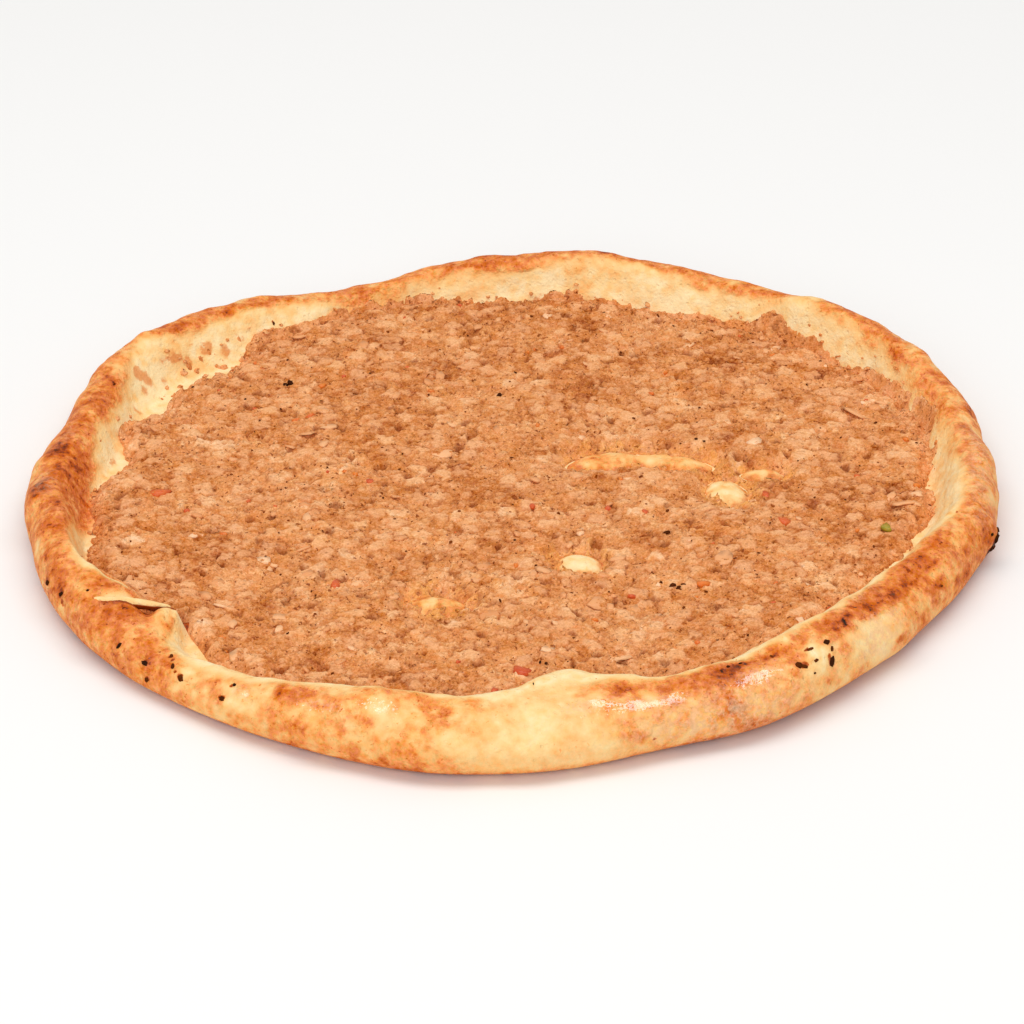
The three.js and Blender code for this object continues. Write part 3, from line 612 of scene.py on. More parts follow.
def mince_relief(x, y):
    """The mince's own unevenness: soft waves of two sizes, broken clumps, onion flakes as smooth low
    plateaus with soft borders, granules, fine grain, cracks and holes. Two noises shift the cells'
    places, so that their borders are uneven."""
    warp_x = x + 1.3 * flat_noise(x, y, 3.1, 34) + 0.5 * flat_noise(x, y, 1.2, 45)
    warp_y = y + 1.3 * flat_noise(x, y, 3.1, 35) + 0.5 * flat_noise(x, y, 1.2, 46)
    clump = cells(warp_x, warp_y, CLUMPS, 36)
    broken = smoothstep(clump.chance[..., 1] + 0.3 * flat_noise(x, y, 6, 47), 0.2, 0.6)
    dome = (1 - (1 - clump.inside) ** 2) * broken
    waves = 0.42 * flat_noise(x, y, 7.5, 48) + 0.34 * flat_noise(warp_x, warp_y, 3, 49)

    large = cells(warp_x + 40, warp_y - 17, LARGE_FLAKES, 37)
    chips = cells(warp_x - 23, warp_y + 31, CHIPS, 38)
    chosen = large.chance[..., 0] < FLAKE_SHARE
    chip = (chips.chance[..., 0] < FLAKE_SHARE) * smoothstep(chips.inside, 0.08, 0.36)
    flake = np.maximum(chosen * smoothstep(large.inside, 0.05, 0.3), 0.8 * chip)
    flake = flake * smoothstep(flat_noise(x, y, 1.9, 51), -0.9, -0.2)

    granule = cells(warp_x, warp_y, GRANULES, 39)
    grain = 0.6 * (granule.inside - 0.45) + 0.24 * flat_noise(x, y, 0.9, 40)
    ridge = np.abs(flat_noise(warp_x, warp_y, 4.6, 41))
    crack = (1 - smoothstep(ridge, 0.02, 0.14)) * smoothstep(flat_noise(x, y, 8, 50), 0.02, 0.4)
    hole = cells(warp_x, warp_y, HOLES, 42)
    hole_size = 0.3 + 1.3 * hole.chance[..., 0] ** 3
    pit = np.exp(-((np.hypot(hole.away[..., 0], hole.away[..., 1]) / hole_size) ** 4))

    soft = 1 - 0.85 * flake
    relief = (1 - 0.6 * flake) * (waves + 0.62 * dome - 0.25) + 0.22 * flake + soft * grain
    relief -= soft * (0.6 * crack + 1.5 * pit)
    shades = 0.53 + 0.44 * flat_noise(x, y, 19, 43) + 0.4 * flat_noise(x, y, 7, 44) + 0.16 * waves
    tone = 0.62 * shades + 0.38 * (clump.chance[..., 2] * broken + 0.5 * (1 - broken))
    # Painted shade in the crevices between granules.
    crevice_shade = (1 - smoothstep(granule.inside, 0, 0.3)) * smoothstep(flat_noise(x, y, 6, 52), -0.5, 0.4)
    return SimpleNamespace(
        relief=relief,
        flake=flake,
        tone=np.clip(np.where(chosen, 0.5 * large.chance[..., 2] + 0.5 * tone, tone), 0, 1),
        # Painted shade: cracks, pits and the crevices between granules are darkened in colour.
        hollow=np.clip(soft * (0.7 * crack + 1.2 * pit + 0.45 * crevice_shade), 0, 1),
        granule=granule.chance[..., 1],
    )


def mince_at(x, y):
    """The mince's height at each place, with its finish.

    Inside a ragged border it lies on the dough: first as a thin film, and further in up to its own
    nearly level surface. Outside the border it dips under the dough. On the slope the relief's place is
    moved out by the length that the slope adds, so that its grains aren't drawn out."""
    degrees = np.degrees(np.arctan2(y, x)) % 360
    rim = rim_at(degrees)
    inset = rim.radius - np.hypot(x, y)
    bubble, lapped, bubble_height = bubble_field(x, y)
    dough = np.maximum(slope_height(inset, rim), bubble_height)
    place = np.stack([x, y, dough], axis=-1)
    large, small, tiny = (soft_noise(place, size, seed) for size, seed in ((6, 31), (2.6, 32), (1.1, 53)))

    # How far inside its border each place is: noise makes the border ragged, scraps lie outside it, and
    # the bubbles and the ground behind the crease are left bare.
    gentle = 0.3 + 0.7 * smoothstep(inset, rim.width - 5, rim.width)
    ragged = gentle * swell(degrees, 1, RAGGED_SWELLS)
    inward = inside_the_border(inset, rim) + ragged * (1.1 * large + 1.1 * small) + 0.5 * gentle * tiny
    inward = np.maximum(inward, scrap_field(x, y) + gentle * (0.8 * small + 0.4 * tiny))
    lapped = lapped + 2.4 * flat_noise(x, y, 4.5, 33) + 2 * small + 1.1 * tiny
    inward = np.minimum(inward, np.maximum(lapped, bubble + 0.7))
    along, behind = crease_place(x, y)
    inward = np.minimum(inward, behind - 3 + 40 * np.maximum(0, np.abs(along - 0.5) - 0.56))

    # Its thickness: a film on the slope and round the bubbles, then up to its own surface.
    drawn = 1 + 0.45 * (dough - rim.floor) / np.maximum(np.hypot(x, y), 1)
    top = mince_relief(x * drawn, y * drawn)
    lumpy = 1 + 0.8 * smoothstep(11 - inward, 0, 11) * smoothstep(y, 0, 70)
    wave = 0.35 * (np.sin(0.11 * x + 0.6) + np.sin(0.13 * y - 0.05 * x + 2))
    dip = BARE_DIP * np.exp(-((np.maximum(bubble + 2, 0) / (DIP_MARGIN + 2)) ** 2))
    slab = MINCE_TOP + wave - dip + lumpy * top.relief
    film = FILM * (0.4 + 0.6 * smoothstep(bubble, -1, 4)) + 0.6 * top.relief
    thick = film + np.maximum(slab - dough - film, 0) * smoothstep(inward, 0.4, MINCE_EDGE)
    top.height = dough - HIDDEN + (np.maximum(thick, 0.25) + HIDDEN) * smoothstep(inward, -0.6, 0.7)

    # Its finish: thin places near the rim, glaze round the bubbles, and a darker back.
    top.thin = (1 - smoothstep(thick, 0.6, 2)) * smoothstep(inset, rim.width, rim.width - 3)
    top.glaze = smoothstep(4.4 - bubble + 2.6 * large + 1.6 * small, 0.5, 4.5)
    top.tone = np.clip(top.tone - 0.1 * smoothstep(y, 30, 110) + 0.1 * top.thin, 0, 1)
    return top


def mince_grid():
    """The whole mince as a square grid bent into a disc by x = a sqrt(1 - b^2 / 2) and
    y = b sqrt(1 - a^2 / 2), and stretched out to just inside the crest. Gives the points, their
    normals and the finish."""
    side = np.linspace(-1, 1, MINCE_STEPS + 1)
    a, b = np.meshgrid(side, side, indexing="ij")
    disc_x, disc_y = a * np.sqrt(1 - b * b / 2), b * np.sqrt(1 - a * a / 2)
    angle = np.arctan2(disc_y, disc_x)
    rim = rim_at(np.degrees(angle) % 360)
    radius = np.hypot(disc_x, disc_y) * (rim.radius - rim.inset - 1)
    x, y = radius * np.cos(angle), radius * np.sin(angle)
    top = mince_at(x, y)
    points = np.stack([x, y, np.maximum(top.height, MINCE_UNDERSIDE + 0.4)], axis=-1)
    normals = np.cross(np.gradient(points, axis=0), np.gradient(points, axis=1))
    normals /= np.linalg.norm(normals, axis=-1, keepdims=True)
    return points, normals, top


def closed_patch(points, normals, fields):
    """A square patch of the surface made a closed solid, with straight sides down to a level
    underside."""
    count = len(points)
    index = np.arange(count * count).reshape(count, count)
    border = grid_border(index)
    foot = points.reshape(-1, 3)[border].copy()
    foot[:, 2] = MINCE_UNDERSIDE
    start = count * count
    quads = np.stack(
        [index[:-1, :-1], index[1:, :-1], index[1:, 1:], index[:-1, 1:]], axis=-1
    ).reshape(-1, 4)
    here = start + np.arange(len(border))
    ahead = np.roll(here, -1)
    sides = np.stack([border, here, ahead, np.roll(border, -1)], axis=-1)
    under = np.stack([here, np.full(len(border), start + len(border)), ahead], axis=-1)
    added = len(border) + 1
    whole_fields = {name: np.append(values.ravel(), np.zeros(added)) for name, values in fields.items()}
    down = np.tile((0.0, 0.0, -1.0), (added, 1))
    whole_points = np.vstack([points.reshape(-1, 3), foot, foot.mean(axis=0)])
    return whole_points, [quads, sides, under], whole_fields, np.vstack([normals.reshape(-1, 3), down])


def grid_border(index):
    """Indices round the edge of a square grid, anticlockwise seen from above."""
    return np.concatenate([index[:-1, 0], index[-1, :-1], index[:0:-1, -1], index[0, :0:-1]])


# ---- Scattered pieces ---------------------------------------------------------------------------

GOLDEN = (1 + 5**0.5) / 2
SCATTER_HALF = 130  # half side of the square in which random places are drawn
SCATTER_CLEAR = 1.5  # least distance from a bubble
BARE_CORNER, CORNER_SPREAD = (-97, 76), (11, 9)  # where crumbs are strewn over bare dough
CORNER_CRUMBS, BORDER_CRUMBS = 60, 150
BORDER_RANGE = (-30, 200)  # degrees between which crumbs lie along the border
CREST_CLEAR = 3.5  # least way from the crest to a crumb


def icosahedron():
    """Twelve corners on three golden rectangles, and the twenty faces between them."""
    corners = np.array([
        (-1, GOLDEN, 0), (1, GOLDEN, 0), (-1, -GOLDEN, 0), (1, -GOLDEN, 0),
        (0, -1, GOLDEN), (0, 1, GOLDEN), (0, -1, -GOLDEN), (0, 1, -GOLDEN),
        (GOLDEN, 0, -1), (GOLDEN, 0, 1), (-GOLDEN, 0, -1), (-GOLDEN, 0, 1),
    ]) / np.hypot(1, GOLDEN)
    faces = np.array([
        (0, 11, 5), (0, 5, 1), (0, 1, 7), (0, 7, 10), (0, 10, 11), (1, 5, 9), (5, 11, 4),
        (11, 10, 2), (10, 7, 6), (7, 1, 8), (3, 9, 4), (3, 4, 2), (3, 2, 6), (3, 6, 8), (3, 8, 9),
        (4, 9, 5), (2, 4, 11), (6, 2, 10), (8, 6, 7), (9, 8, 1),
    ])
    return corners, faces


def finer(corners, faces):
    """Each face split in four, with the new corners pushed out to the unit ball."""
    edges = np.sort(faces[:, [0, 1, 1, 2, 2, 0]].reshape(-1, 2), axis=1)
    unique, where = np.unique(edges, axis=0, return_inverse=True)
    middles = corners[unique].sum(axis=1)
    middles /= np.linalg.norm(middles, axis=1, keepdims=True)
    ab, bc, ca = (len(corners) + where.reshape(-1, 3)).T
    a, b, c = faces.T
    split = np.concatenate([
        np.stack(corner, axis=-1) for corner in ((a, ab, ca), (ab, b, bc), (ca, bc, c), (ab, bc, ca))
    ])
    return np.vstack([corners, middles]), split


def slice_shape(sides):
    """A thin slice: a ring at the top edge, a wider ring at the bottom edge, and two middle points."""
    narrow, edge = 0.86, 0.8
    turn = np.arange(sides) * 2 * np.pi / sides
    upper = np.stack([narrow * np.cos(turn), narrow * np.sin(turn), np.full(sides, edge)], axis=-1)
    lower = np.stack([np.cos(turn), np.sin(turn), np.full(sides, -edge)], axis=-1)
    corners = np.vstack([upper, lower, [(0, 0, 1), (0, 0, -1)]])
    here = np.arange(sides)
    ahead = (here + 1) % sides
    top, bottom = np.full(sides, 2 * sides), np.full(sides, 2 * sides + 1)
    faces = np.concatenate([
        np.stack([here, ahead, top], axis=-1),
        np.stack([sides + ahead, sides + here, bottom], axis=-1),
        np.stack([here, sides + here, sides + ahead], axis=-1),
        np.stack([here, sides + ahead, ahead], axis=-1),
    ])
    return corners, faces


def copies(shape, middles, halves, ups, spread, seed, sides=None):
    """Copies of a shape, one at each middle: its corners are moved out or in at random, stretched to the
    half sizes, and laid so that their +Z follows `ups` and their +X `sides`, or a random direction."""
    corners, faces = shape
    count = len(middles)
    random = np.random.default_rng(seed)
    jitter = 1 + spread * random.uniform(-1, 1, (count, len(corners), 1))
    local = corners[None] * jitter * halves[:, None, :]
    turn = random.uniform(0, 2 * np.pi, count)
    side = np.stack([np.cos(turn), np.sin(turn), np.zeros(count)], axis=-1) if sides is None else sides
    side = side - ups * (side * ups).sum(axis=1, keepdims=True)
    side /= np.linalg.norm(side, axis=1, keepdims=True)
    frames = np.stack([side, np.cross(ups, side), ups], axis=1)
    points = np.einsum("nki,nij->nkj", local, frames) + middles[:, None, :]
    index = faces[None] + (np.arange(count) * len(corners))[:, None, None]
    return points.reshape(-1, 3), index.reshape(-1, 3)


def per_corner(values, shape):
    """One value for each copy of a shape, given to all of its corners."""
    return np.repeat(values, len(shape[0]))


def random_places(count, seed, inward=2):
    """Even random places on the mince, clear of its border and of the bubbles. More are drawn than are
    needed, because some fall outside."""
    random = np.random.default_rng(seed)
    x, y = random.uniform(-SCATTER_HALF, SCATTER_HALF, (2, 3 * count + 60))
    rim = rim_at(np.degrees(np.arctan2(y, x)) % 360)
    fits = inside_the_border(rim.radius - np.hypot(x, y), rim) > inward
    fits &= bubble_field(x, y)[0] > SCATTER_CLEAR
    return x[fits][:count], y[fits][:count]


def with_named(x, y, named):
    """Random places, and after them the named ones."""
    return np.concatenate([x, named[:, 0]]), np.concatenate([y, named[:, 1]])


def tilted(count, seed, spread):
    """Unit vectors near +Z, each leant by about `spread`."""
    lean = np.random.default_rng(seed).normal(0, spread, (count, 2))
    ups = np.column_stack([lean, np.ones(count)])
    return ups / np.linalg.norm(ups, axis=1, keepdims=True)


def on_the_mince(x, y, lift):
    """Points at a height over the mince's surface."""
    return np.column_stack([x, y, mince_at(x, y).height + lift])


def on_the_skin(skin, places):
    """The skin's points and normals nearest to each (place, across)."""
    points, normals = [], []
    for place, across in places:
        along = np.radians((skin.degrees - place + 180) % 360 - 180) * skin.radius
        distance = along**2 + (skin.across - across) ** 2
        nearest = np.unravel_index(np.argmin(distance), distance.shape)
        points.append(skin.points[nearest])
        normals.append(skin.normals[nearest])
    return np.array(points), np.array(normals)


# ---- From arrays to Blender objects --------------------------------------------------------------


def bread_middle():
    """The middle of the outline's bounding box, which stands at the frame's origin."""
    rim = rim_at(np.arange(RIM_COLUMNS) * 360 / RIM_COLUMNS)
    x, y = rim.radius * np.cos(rim.angle), rim.radius * np.sin(rim.angle)
    return np.array([(x.max() + x.min()) / 2, (y.max() + y.min()) / 2, 0])


def new_piece(name, points, faces, material, fields=None, normals=None):
    """A mesh object in metres in the frame, from millimetres in the bread's frame."""
    mesh = bpy.data.meshes.new(name)
    corners = np.concatenate([part.ravel() for part in faces])
    sizes = np.concatenate([np.full(len(part), part.shape[1]) for part in faces])
    mesh.vertices.add(len(points))
    mesh.vertices.foreach_set("co", ((points - bread_middle()) * MM).astype(np.float32).ravel())
    mesh.loops.add(len(corners))
    mesh.loops.foreach_set("vertex_index", corners.astype(np.int32))
    mesh.polygons.add(len(sizes))
    starts = np.concatenate([[0], np.cumsum(sizes)[:-1]])
    mesh.polygons.foreach_set("loop_start", starts.astype(np.int32))
    mesh.polygons.foreach_set("use_smooth", np.ones(len(sizes), bool))
    for field, values in (fields or {}).items():
        attribute = mesh.attributes.new(field, "FLOAT", "POINT")
        attribute.data.foreach_set("value", np.asarray(values, np.float32))
    mesh.update(calc_edges=True)
    if normals is not None:
        mesh.normals_split_custom_set_from_vertices(normals)
    mesh.materials.append(material)
    piece = bpy.data.objects.new(name, mesh)
    bpy.context.scene.collection.objects.link(piece)
    return piece


def finish_piece(piece, node):
    """Lets a piece ride on the body and stand for its solid."""
    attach(piece, "root")
    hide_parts(node)
    return piece


# ---- Shader tools -------------------------------------------------------------------------------


def node(tree, kind, inputs=None, **settings):
    """A shader node. A value for an input is either a number or colour, or a socket to link from."""
    made = tree.nodes.new("ShaderNode" + kind)
    for name, value in settings.items():
        setattr(made, name, value)
    for name, value in (inputs or {}).items():
        if isinstance(value, bpy.types.NodeSocket):
            tree.links.new(value, made.inputs[name])
        else:
            made.inputs[name].default_value = value
    return made


def maths(tree, operation, *values, **settings):
    """The result of a Math node."""
    return node(tree, "Math", dict(enumerate(values)), operation=operation, **settings).outputs[0]


def times(tree, first, second):
    """first * second"""
    return maths(tree, "MULTIPLY", first, second)


def plus(tree, base, value, amount=1.0):
    """base + value * amount"""
    return maths(tree, "MULTIPLY_ADD", value, amount, base)


def between(tree, value, low, high, to_low=0.0, to_high=1.0):
    """A smooth step of a value, from low to high."""
    inputs = {"Value": value, 1: low, 2: high, 3: to_low, 4: to_high}
    return node(tree, "MapRange", inputs, interpolation_type="SMOOTHSTEP").outputs[0]


def mix(tree, share, first, second):
    """A mixture of two colours. Sockets 6 and 7 of the node are its colours, and output 2 the mixture."""
    return node(tree, "Mix", {0: share, 6: first, 7: second}, data_type="RGBA").outputs[2]


def linear(colour):
    """A colour of 0 to 255 for each channel, as a linear RGBA value."""
    channels = np.array(colour) / 255
    return (*np.where(channels <= 0.04045, channels / 12.92, ((channels + 0.055) / 1.055) ** 2.4), 1)


def ramp(tree, value, stops):
    """A colour ramp, where each stop is a place from 0 to 1 and a colour."""
    made = node(tree, "ValToRGB", {"Fac": value})
    elements = made.color_ramp.elements
    while len(elements) < len(stops):
        elements.new(0.5)
    for element, (place, colour) in zip(elements, stops):
        element.position = place
        element.color = colour
    return made.outputs["Color"]


def attribute(tree, name):
    """A field of the mesh."""
    return node(tree, "Attribute", attribute_name=name).outputs["Fac"]


def noise(tree, place, size, detail=2.0, roughness=0.5, warp=0.0):
    """Noise of 0 to 1 with features of about `size` millimetres."""
    inputs = {
        "Vector": place, "Scale": 1 / (size * MM), "Detail": detail, "Roughness": roughness,
        "Distortion": warp,
    }
    return node(tree, "TexNoise", inputs).outputs["Fac"]


def centred_noise(tree, place, size, detail=3.0, roughness=0.5):
    """Noise of about -0.5 to 0.5."""
    return maths(tree, "SUBTRACT", noise(tree, place, size, detail, roughness), 0.5)


def new_group(name, inputs, outputs):
    """An empty shader node group. Inputs are (name, kind, default) and outputs (name, kind)."""
    tree = bpy.data.node_groups.new(name, "ShaderNodeTree")
    for label, kind, default in inputs:
        socket = tree.interface.new_socket(label, in_out="INPUT", socket_type="NodeSocket" + kind)
        if default is not None:
            socket.default_value = default
    for label, kind in outputs:
        tree.interface.new_socket(label, in_out="OUTPUT", socket_type="NodeSocket" + kind)
    return tree, tree.nodes.new("NodeGroupInput"), tree.nodes.new("NodeGroupOutput")


def speckle_group():
    """Patches with sharp, uneven edges: a noise past Threshold, which sets how few there are. Size is in
    metres."""
    name = "Speckle"
    if name in bpy.data.node_groups:
        return bpy.data.node_groups[name]
    tree, given, out = new_group(
        name,
        [
            ("Place", "Vector", None), ("Size", "Float", 0.001), ("Threshold", "Float", 0.6),
            ("Softness", "Float", 0.03),
        ],
        [("Mask", "Float")],
    )
    scale = maths(tree, "DIVIDE", 1.0, given.outputs["Size"])
    cloud = node(tree, "TexNoise", {"Vector": given.outputs["Place"], "Scale": scale, "Detail": 2.5})
    high = maths(tree, "ADD", given.outputs["Threshold"], given.outputs["Softness"])
    mask = between(tree, cloud.outputs["Fac"], given.outputs["Threshold"], high)
    tree.links.new(mask, out.inputs["Mask"])
    return tree


def grain_group():
    """Fine relief in millimetres: noise for the grains, less round pits in some cells of a Voronoi
    pattern. The sizes are in metres."""
    name = "Grain relief"
    if name in bpy.data.node_groups:
        return bpy.data.node_groups[name]
    tree, given, out = new_group(
        name,
        [
            ("Place", "Vector", None), ("Grain size", "Float", 0.0008), ("Grain height", "Float", 0.05),
            ("Pit size", "Float", 0.0015), ("Pit depth", "Float", 0.1),
        ],
        [("Height", "Float")],
    )
    grain_scale = maths(tree, "DIVIDE", 1.0, given.outputs["Grain size"])
    cloud = node(tree, "TexNoise", {"Vector": given.outputs["Place"], "Scale": grain_scale, "Detail": 3.0})
    pit_scale = maths(tree, "DIVIDE", 1.0, given.outputs["Pit size"])
    dots = node(tree, "TexVoronoi", {"Vector": given.outputs["Place"], "Scale": pit_scale})
    pits = between(tree, dots.outputs["Distance"], 0.1, 0.32, 1.0, 0.0)
    chance = node(tree, "SeparateColor", {"Color": dots.outputs["Color"]}).outputs[0]
    some = times(tree, pits, between(tree, chance, 0.55, 0.7))
    height = times(tree, cloud.outputs["Fac"], given.outputs["Grain height"])
    depth = times(tree, some, given.outputs["Pit depth"])
    tree.links.new(maths(tree, "SUBTRACT", height, depth), out.inputs["Height"])
    return tree


def speckles(tree, place, size, threshold, softness):
    """Mask of uneven patches of about `size` millimetres."""
    inputs = {"Place": place, "Size": size * MM, "Threshold": threshold, "Softness": softness}
    return node(tree, "Group", inputs, node_tree=speckle_group()).outputs["Mask"]


def grains(tree, place, size, height, pit_size, pit_depth):
    """Height of the fine relief, with its sizes in millimetres too."""
    inputs = {
        "Place": place, "Grain size": size * MM, "Grain height": height, "Pit size": pit_size * MM,
        "Pit depth": pit_depth,
    }
    return node(tree, "Group", inputs, node_tree=grain_group()).outputs["Height"]


def new_material(name, **sockets):
    """A material with a Principled BSDF, and the Object coordinates that its patterns read."""
    material = bpy.data.materials.new(name)
    material.use_nodes = True
    tree = material.node_tree
    shader = tree.nodes["Principled BSDF"]
    for label, value in sockets.items():
        shader.inputs[label.replace("_", " ")].default_value = value
    place = tree.nodes.new("ShaderNodeTexCoord").outputs["Object"]
    return material, tree, shader, place


def add_bump(tree, shader, height):
    """Relief from a height in millimetres."""
    bump = node(tree, "Bump", {"Height": height, "Strength": 1.0, "Distance": MM})
    tree.links.new(bump.outputs["Normal"], shader.inputs["Normal"])


# ---- Materials ----------------------------------------------------------------------------------


def baked_colours(tree, level):
    """Dough from raw cream through gold and orange-brown to char."""
    look = bpy.context.scene.lahmacun_colours
    return ramp(tree, level, [
        (0.0, (*look.cream, 1)),
        (0.14, linear((250, 211, 146))),
        (0.3, (*look.gold, 1)),
        (0.44, linear((246, 154, 80))),
        (0.57, (*look.toast, 1)),
        (0.7, linear((210, 102, 36))),
        (0.84, linear((158, 64, 18))),
        (1.0, (*look.char, 1)),
    ])


def varied(tree, colour, place, size, amount, shade):
    """A colour that is stronger or paler in soft patches, with its own shade on top. Where the shade is
    dark the colour is stronger, as it is in a hollow."""
    cloud = maths(tree, "ADD", centred_noise(tree, place, size), centred_noise(tree, place, 0.35 * size))
    strength = plus(tree, plus(tree, 1.3, cloud, amount), shade, -0.3)
    inputs = {"Color": colour, "Saturation": strength, "Value": shade}
    return node(tree, "HueSaturation", inputs).outputs["Color"]


def dough_level(tree, place, noises, toasted):
    """How far each place of the dough is baked: its own baking, broken up by noise of two sizes and by
    patches of two sizes, all stronger where it is toasted, then scorched marks, with the crease's
    painted shade among them, and dark dots. Gives the level and the mask of the marks."""
    middle, fine = noises
    bake, scorch = attribute(tree, "bake"), attribute(tree, "scorch")
    level = plus(tree, bake, middle, plus(tree, 0.3, toasted, 0.44))
    level = plus(tree, level, fine, plus(tree, 0.22, toasted, 0.34))
    for size, threshold, amount in ((3.1, 0.56, 0.08), (1.6, 0.6, 0.12)):
        patches = times(tree, speckles(tree, place, size, threshold, 0.04), toasted)
        level = plus(tree, level, patches, amount)
    ragged = plus(tree, plus(tree, scorch, middle, 0.6), fine, 0.7)
    mark = between(tree, ragged, 0.32, 0.6)
    level = maths(tree, "MAXIMUM", level, times(tree, mark, plus(tree, 0.6, scorch, 0.3)))
    dots = times(tree, speckles(tree, place, 1.2, 0.68, 0.03), between(tree, bake, 0.1, 0.4, 0.3, 1.0))
    return plus(tree, level, dots, 0.24), mark


def dough_colour(tree, place, noises, level):
    """The baked colour, with ragged pale patches over it, partly paler skin and partly painted sheen,
    and stains of the mince's fat.
    """
    middle, fine = noises
    # Ragged pale patches: partly paler skin, partly painted sheen.
    ragged = between(tree, noise(tree, place, 2.2, 3.0, 0.6, 1.0), 0.38, 0.6)
    pale_and_sheen = times(tree, attribute(tree, "pale"), ragged)
    colour = mix(tree, pale_and_sheen, baked_colours(tree, level), linear((238, 184, 138)))
    wet = plus(tree, plus(tree, attribute(tree, "stain"), middle, 1.2), fine, 0.9)
    fat = mix(tree, noise(tree, place, 1.4), linear((206, 112, 50)), linear((242, 164, 96)))
    return mix(tree, between(tree, wet, 0.25, 0.85, 0.0, 0.8), colour, fat)


def dough_material():
    """Baked dough. Fine noise shades it, toasted skin has deeper wrinkles, and oil makes it glossy."""
    name = "baked_dough"
    if name in bpy.data.materials:
        return bpy.data.materials[name]
    material, tree, shader, place = new_material(name, Coat_Roughness=0.16, Coat_IOR=2.0, IOR=1.2)
    toasted = between(tree, attribute(tree, "bake"), 0.2, 0.5)
    deeper = plus(tree, 0.35, toasted, 0.9)
    middle = centred_noise(tree, place, 2.6)
    fine = centred_noise(tree, place, 0.9, 3.0, 0.65)
    level, mark = dough_level(tree, place, (middle, fine), toasted)
    colour = dough_colour(tree, place, (middle, fine), level)
    shade = plus(tree, 1.0, fine, deeper)
    tree.links.new(varied(tree, colour, place, 7.0, 0.1, shade), shader.inputs["Base Color"])
    wrinkles = times(tree, noise(tree, place, 2.3, 3.0, 0.6, 0.6), deeper)
    height = maths(tree, "ADD", grains(tree, place, 0.8, 0.22, 1.9, 0.16), wrinkles)
    add_bump(tree, shader, plus(tree, height, mark, -0.12))
    oil = attribute(tree, "oil")
    rough = plus(tree, plus(tree, 0.56, oil, -0.34), fine, 0.3)
    tree.links.new(rough, shader.inputs["Roughness"])
    grainy = plus(tree, oil, centred_noise(tree, place, 0.7, 2.0, 0.6), 2.4)
    shine = between(tree, plus(tree, grainy, fine, 1.6), 0.6, 0.9)
    tree.links.new(shine, shader.inputs["Coat Weight"])
    return material


def mince_paste(tree, level):
    """Minced meat from dark brown to pale."""
    look = bpy.context.scene.lahmacun_colours
    return ramp(tree, level, [
        (0.0, linear((150, 70, 26))),
        (0.15, linear((190, 108, 56))),
        (0.35, linear((211, 132, 72))),
        (0.5, (*look.mince, 1)),
        (0.62, linear((229, 154, 95))),
        (0.78, linear((235, 165, 107))),
        (0.9, linear((242, 177, 120))),
        (1.0, linear((248, 191, 136))),
    ])


def mince_onion(tree, level):
    """Onion that is baked into the mince, from its edges' tone to pale."""
    look = bpy.context.scene.lahmacun_colours
    return ramp(tree, level, [
        (0.0, linear((230, 157, 102))),
        (0.4, linear((239, 172, 120))),
        (0.75, (*look.onion, 1)),
        (1.0, linear((252, 206, 164))),
    ])


def mince_colour(tree, place, noises):
    """Paste whose tone noise breaks up, with oil, onion, glaze round the bubbles, thin places, painted
    shade in the hollows and specks of two sizes laid over it in turn."""
    middle, fine = noises
    flake, tone, granule = (attribute(tree, field) for field in ("flake", "tone", "granule"))
    level = plus(tree, plus(tree, tone, fine, 0.45), middle, 0.7)
    level = plus(tree, level, maths(tree, "SUBTRACT", granule, 0.5), 0.26)
    oily = between(tree, noise(tree, place, 9.0, 1.0), 0.5, 0.64)
    uneven = between(tree, noise(tree, place, 2.8, 3.0, 0.6, 0.8), 0.38, 0.56)
    layers = (
        (oily, 0.16, linear((234, 140, 76))),
        (flake, 0.75, mince_onion(tree, plus(tree, tone, middle, 0.7))),
        (times(tree, attribute(tree, "glaze"), uneven), 0.75, linear((244, 172, 94))),
        (attribute(tree, "thin"), 0.45, linear((238, 156, 90))),
        # Painted shade: cracks, pits and crevices are darkened to deep brown.
        (attribute(tree, "hollow"), 0.6, linear((132, 56, 18))),
    )
    colour = mince_paste(tree, level)
    for mask, amount, tint in layers:
        colour = mix(tree, times(tree, mask, amount), colour, tint)
    for size, threshold, amount, dark in ((2.6, 0.6, 0.3, (176, 94, 46)), (1.4, 0.64, 0.8, (130, 54, 14))):
        share = plus(tree, amount, flake, -0.6 * amount)
        specks = times(tree, speckles(tree, place, size, threshold, 0.03), share)
        colour = mix(tree, specks, colour, linear(dark))
    return colour


def mince_material():
    """Baked mince. Onion is smoother than the paste, and small glints stand on both but not in hollows."""
    name = "baked_mince"
    if name in bpy.data.materials:
        return bpy.data.materials[name]
    material, tree, shader, place = new_material(name, Coat_Roughness=0.2, IOR=1.06)
    middle = centred_noise(tree, place, 1.7)
    fine = centred_noise(tree, place, 0.6, 3.0, 0.65)
    colour = mince_colour(tree, place, (middle, fine))
    shade = plus(tree, 1.0, fine, 0.8)
    tree.links.new(varied(tree, colour, place, 6.0, 0.1, shade), shader.inputs["Base Color"])
    add_bump(tree, shader, grains(tree, place, 0.55, 0.3, 1.3, 0.3))
    rough = plus(tree, plus(tree, 0.56, attribute(tree, "flake"), -0.12), fine, 0.35)
    tree.links.new(rough, shader.inputs["Roughness"])
    glints = between(tree, noise(tree, place, 0.8, 2.0), 0.61, 0.7, 0.0, 0.8)
    raised = maths(tree, "SUBTRACT", 1.0, attribute(tree, "hollow"), use_clamp=True)
    tree.links.new(times(tree, glints, raised), shader.inputs["Coat Weight"])
    return material


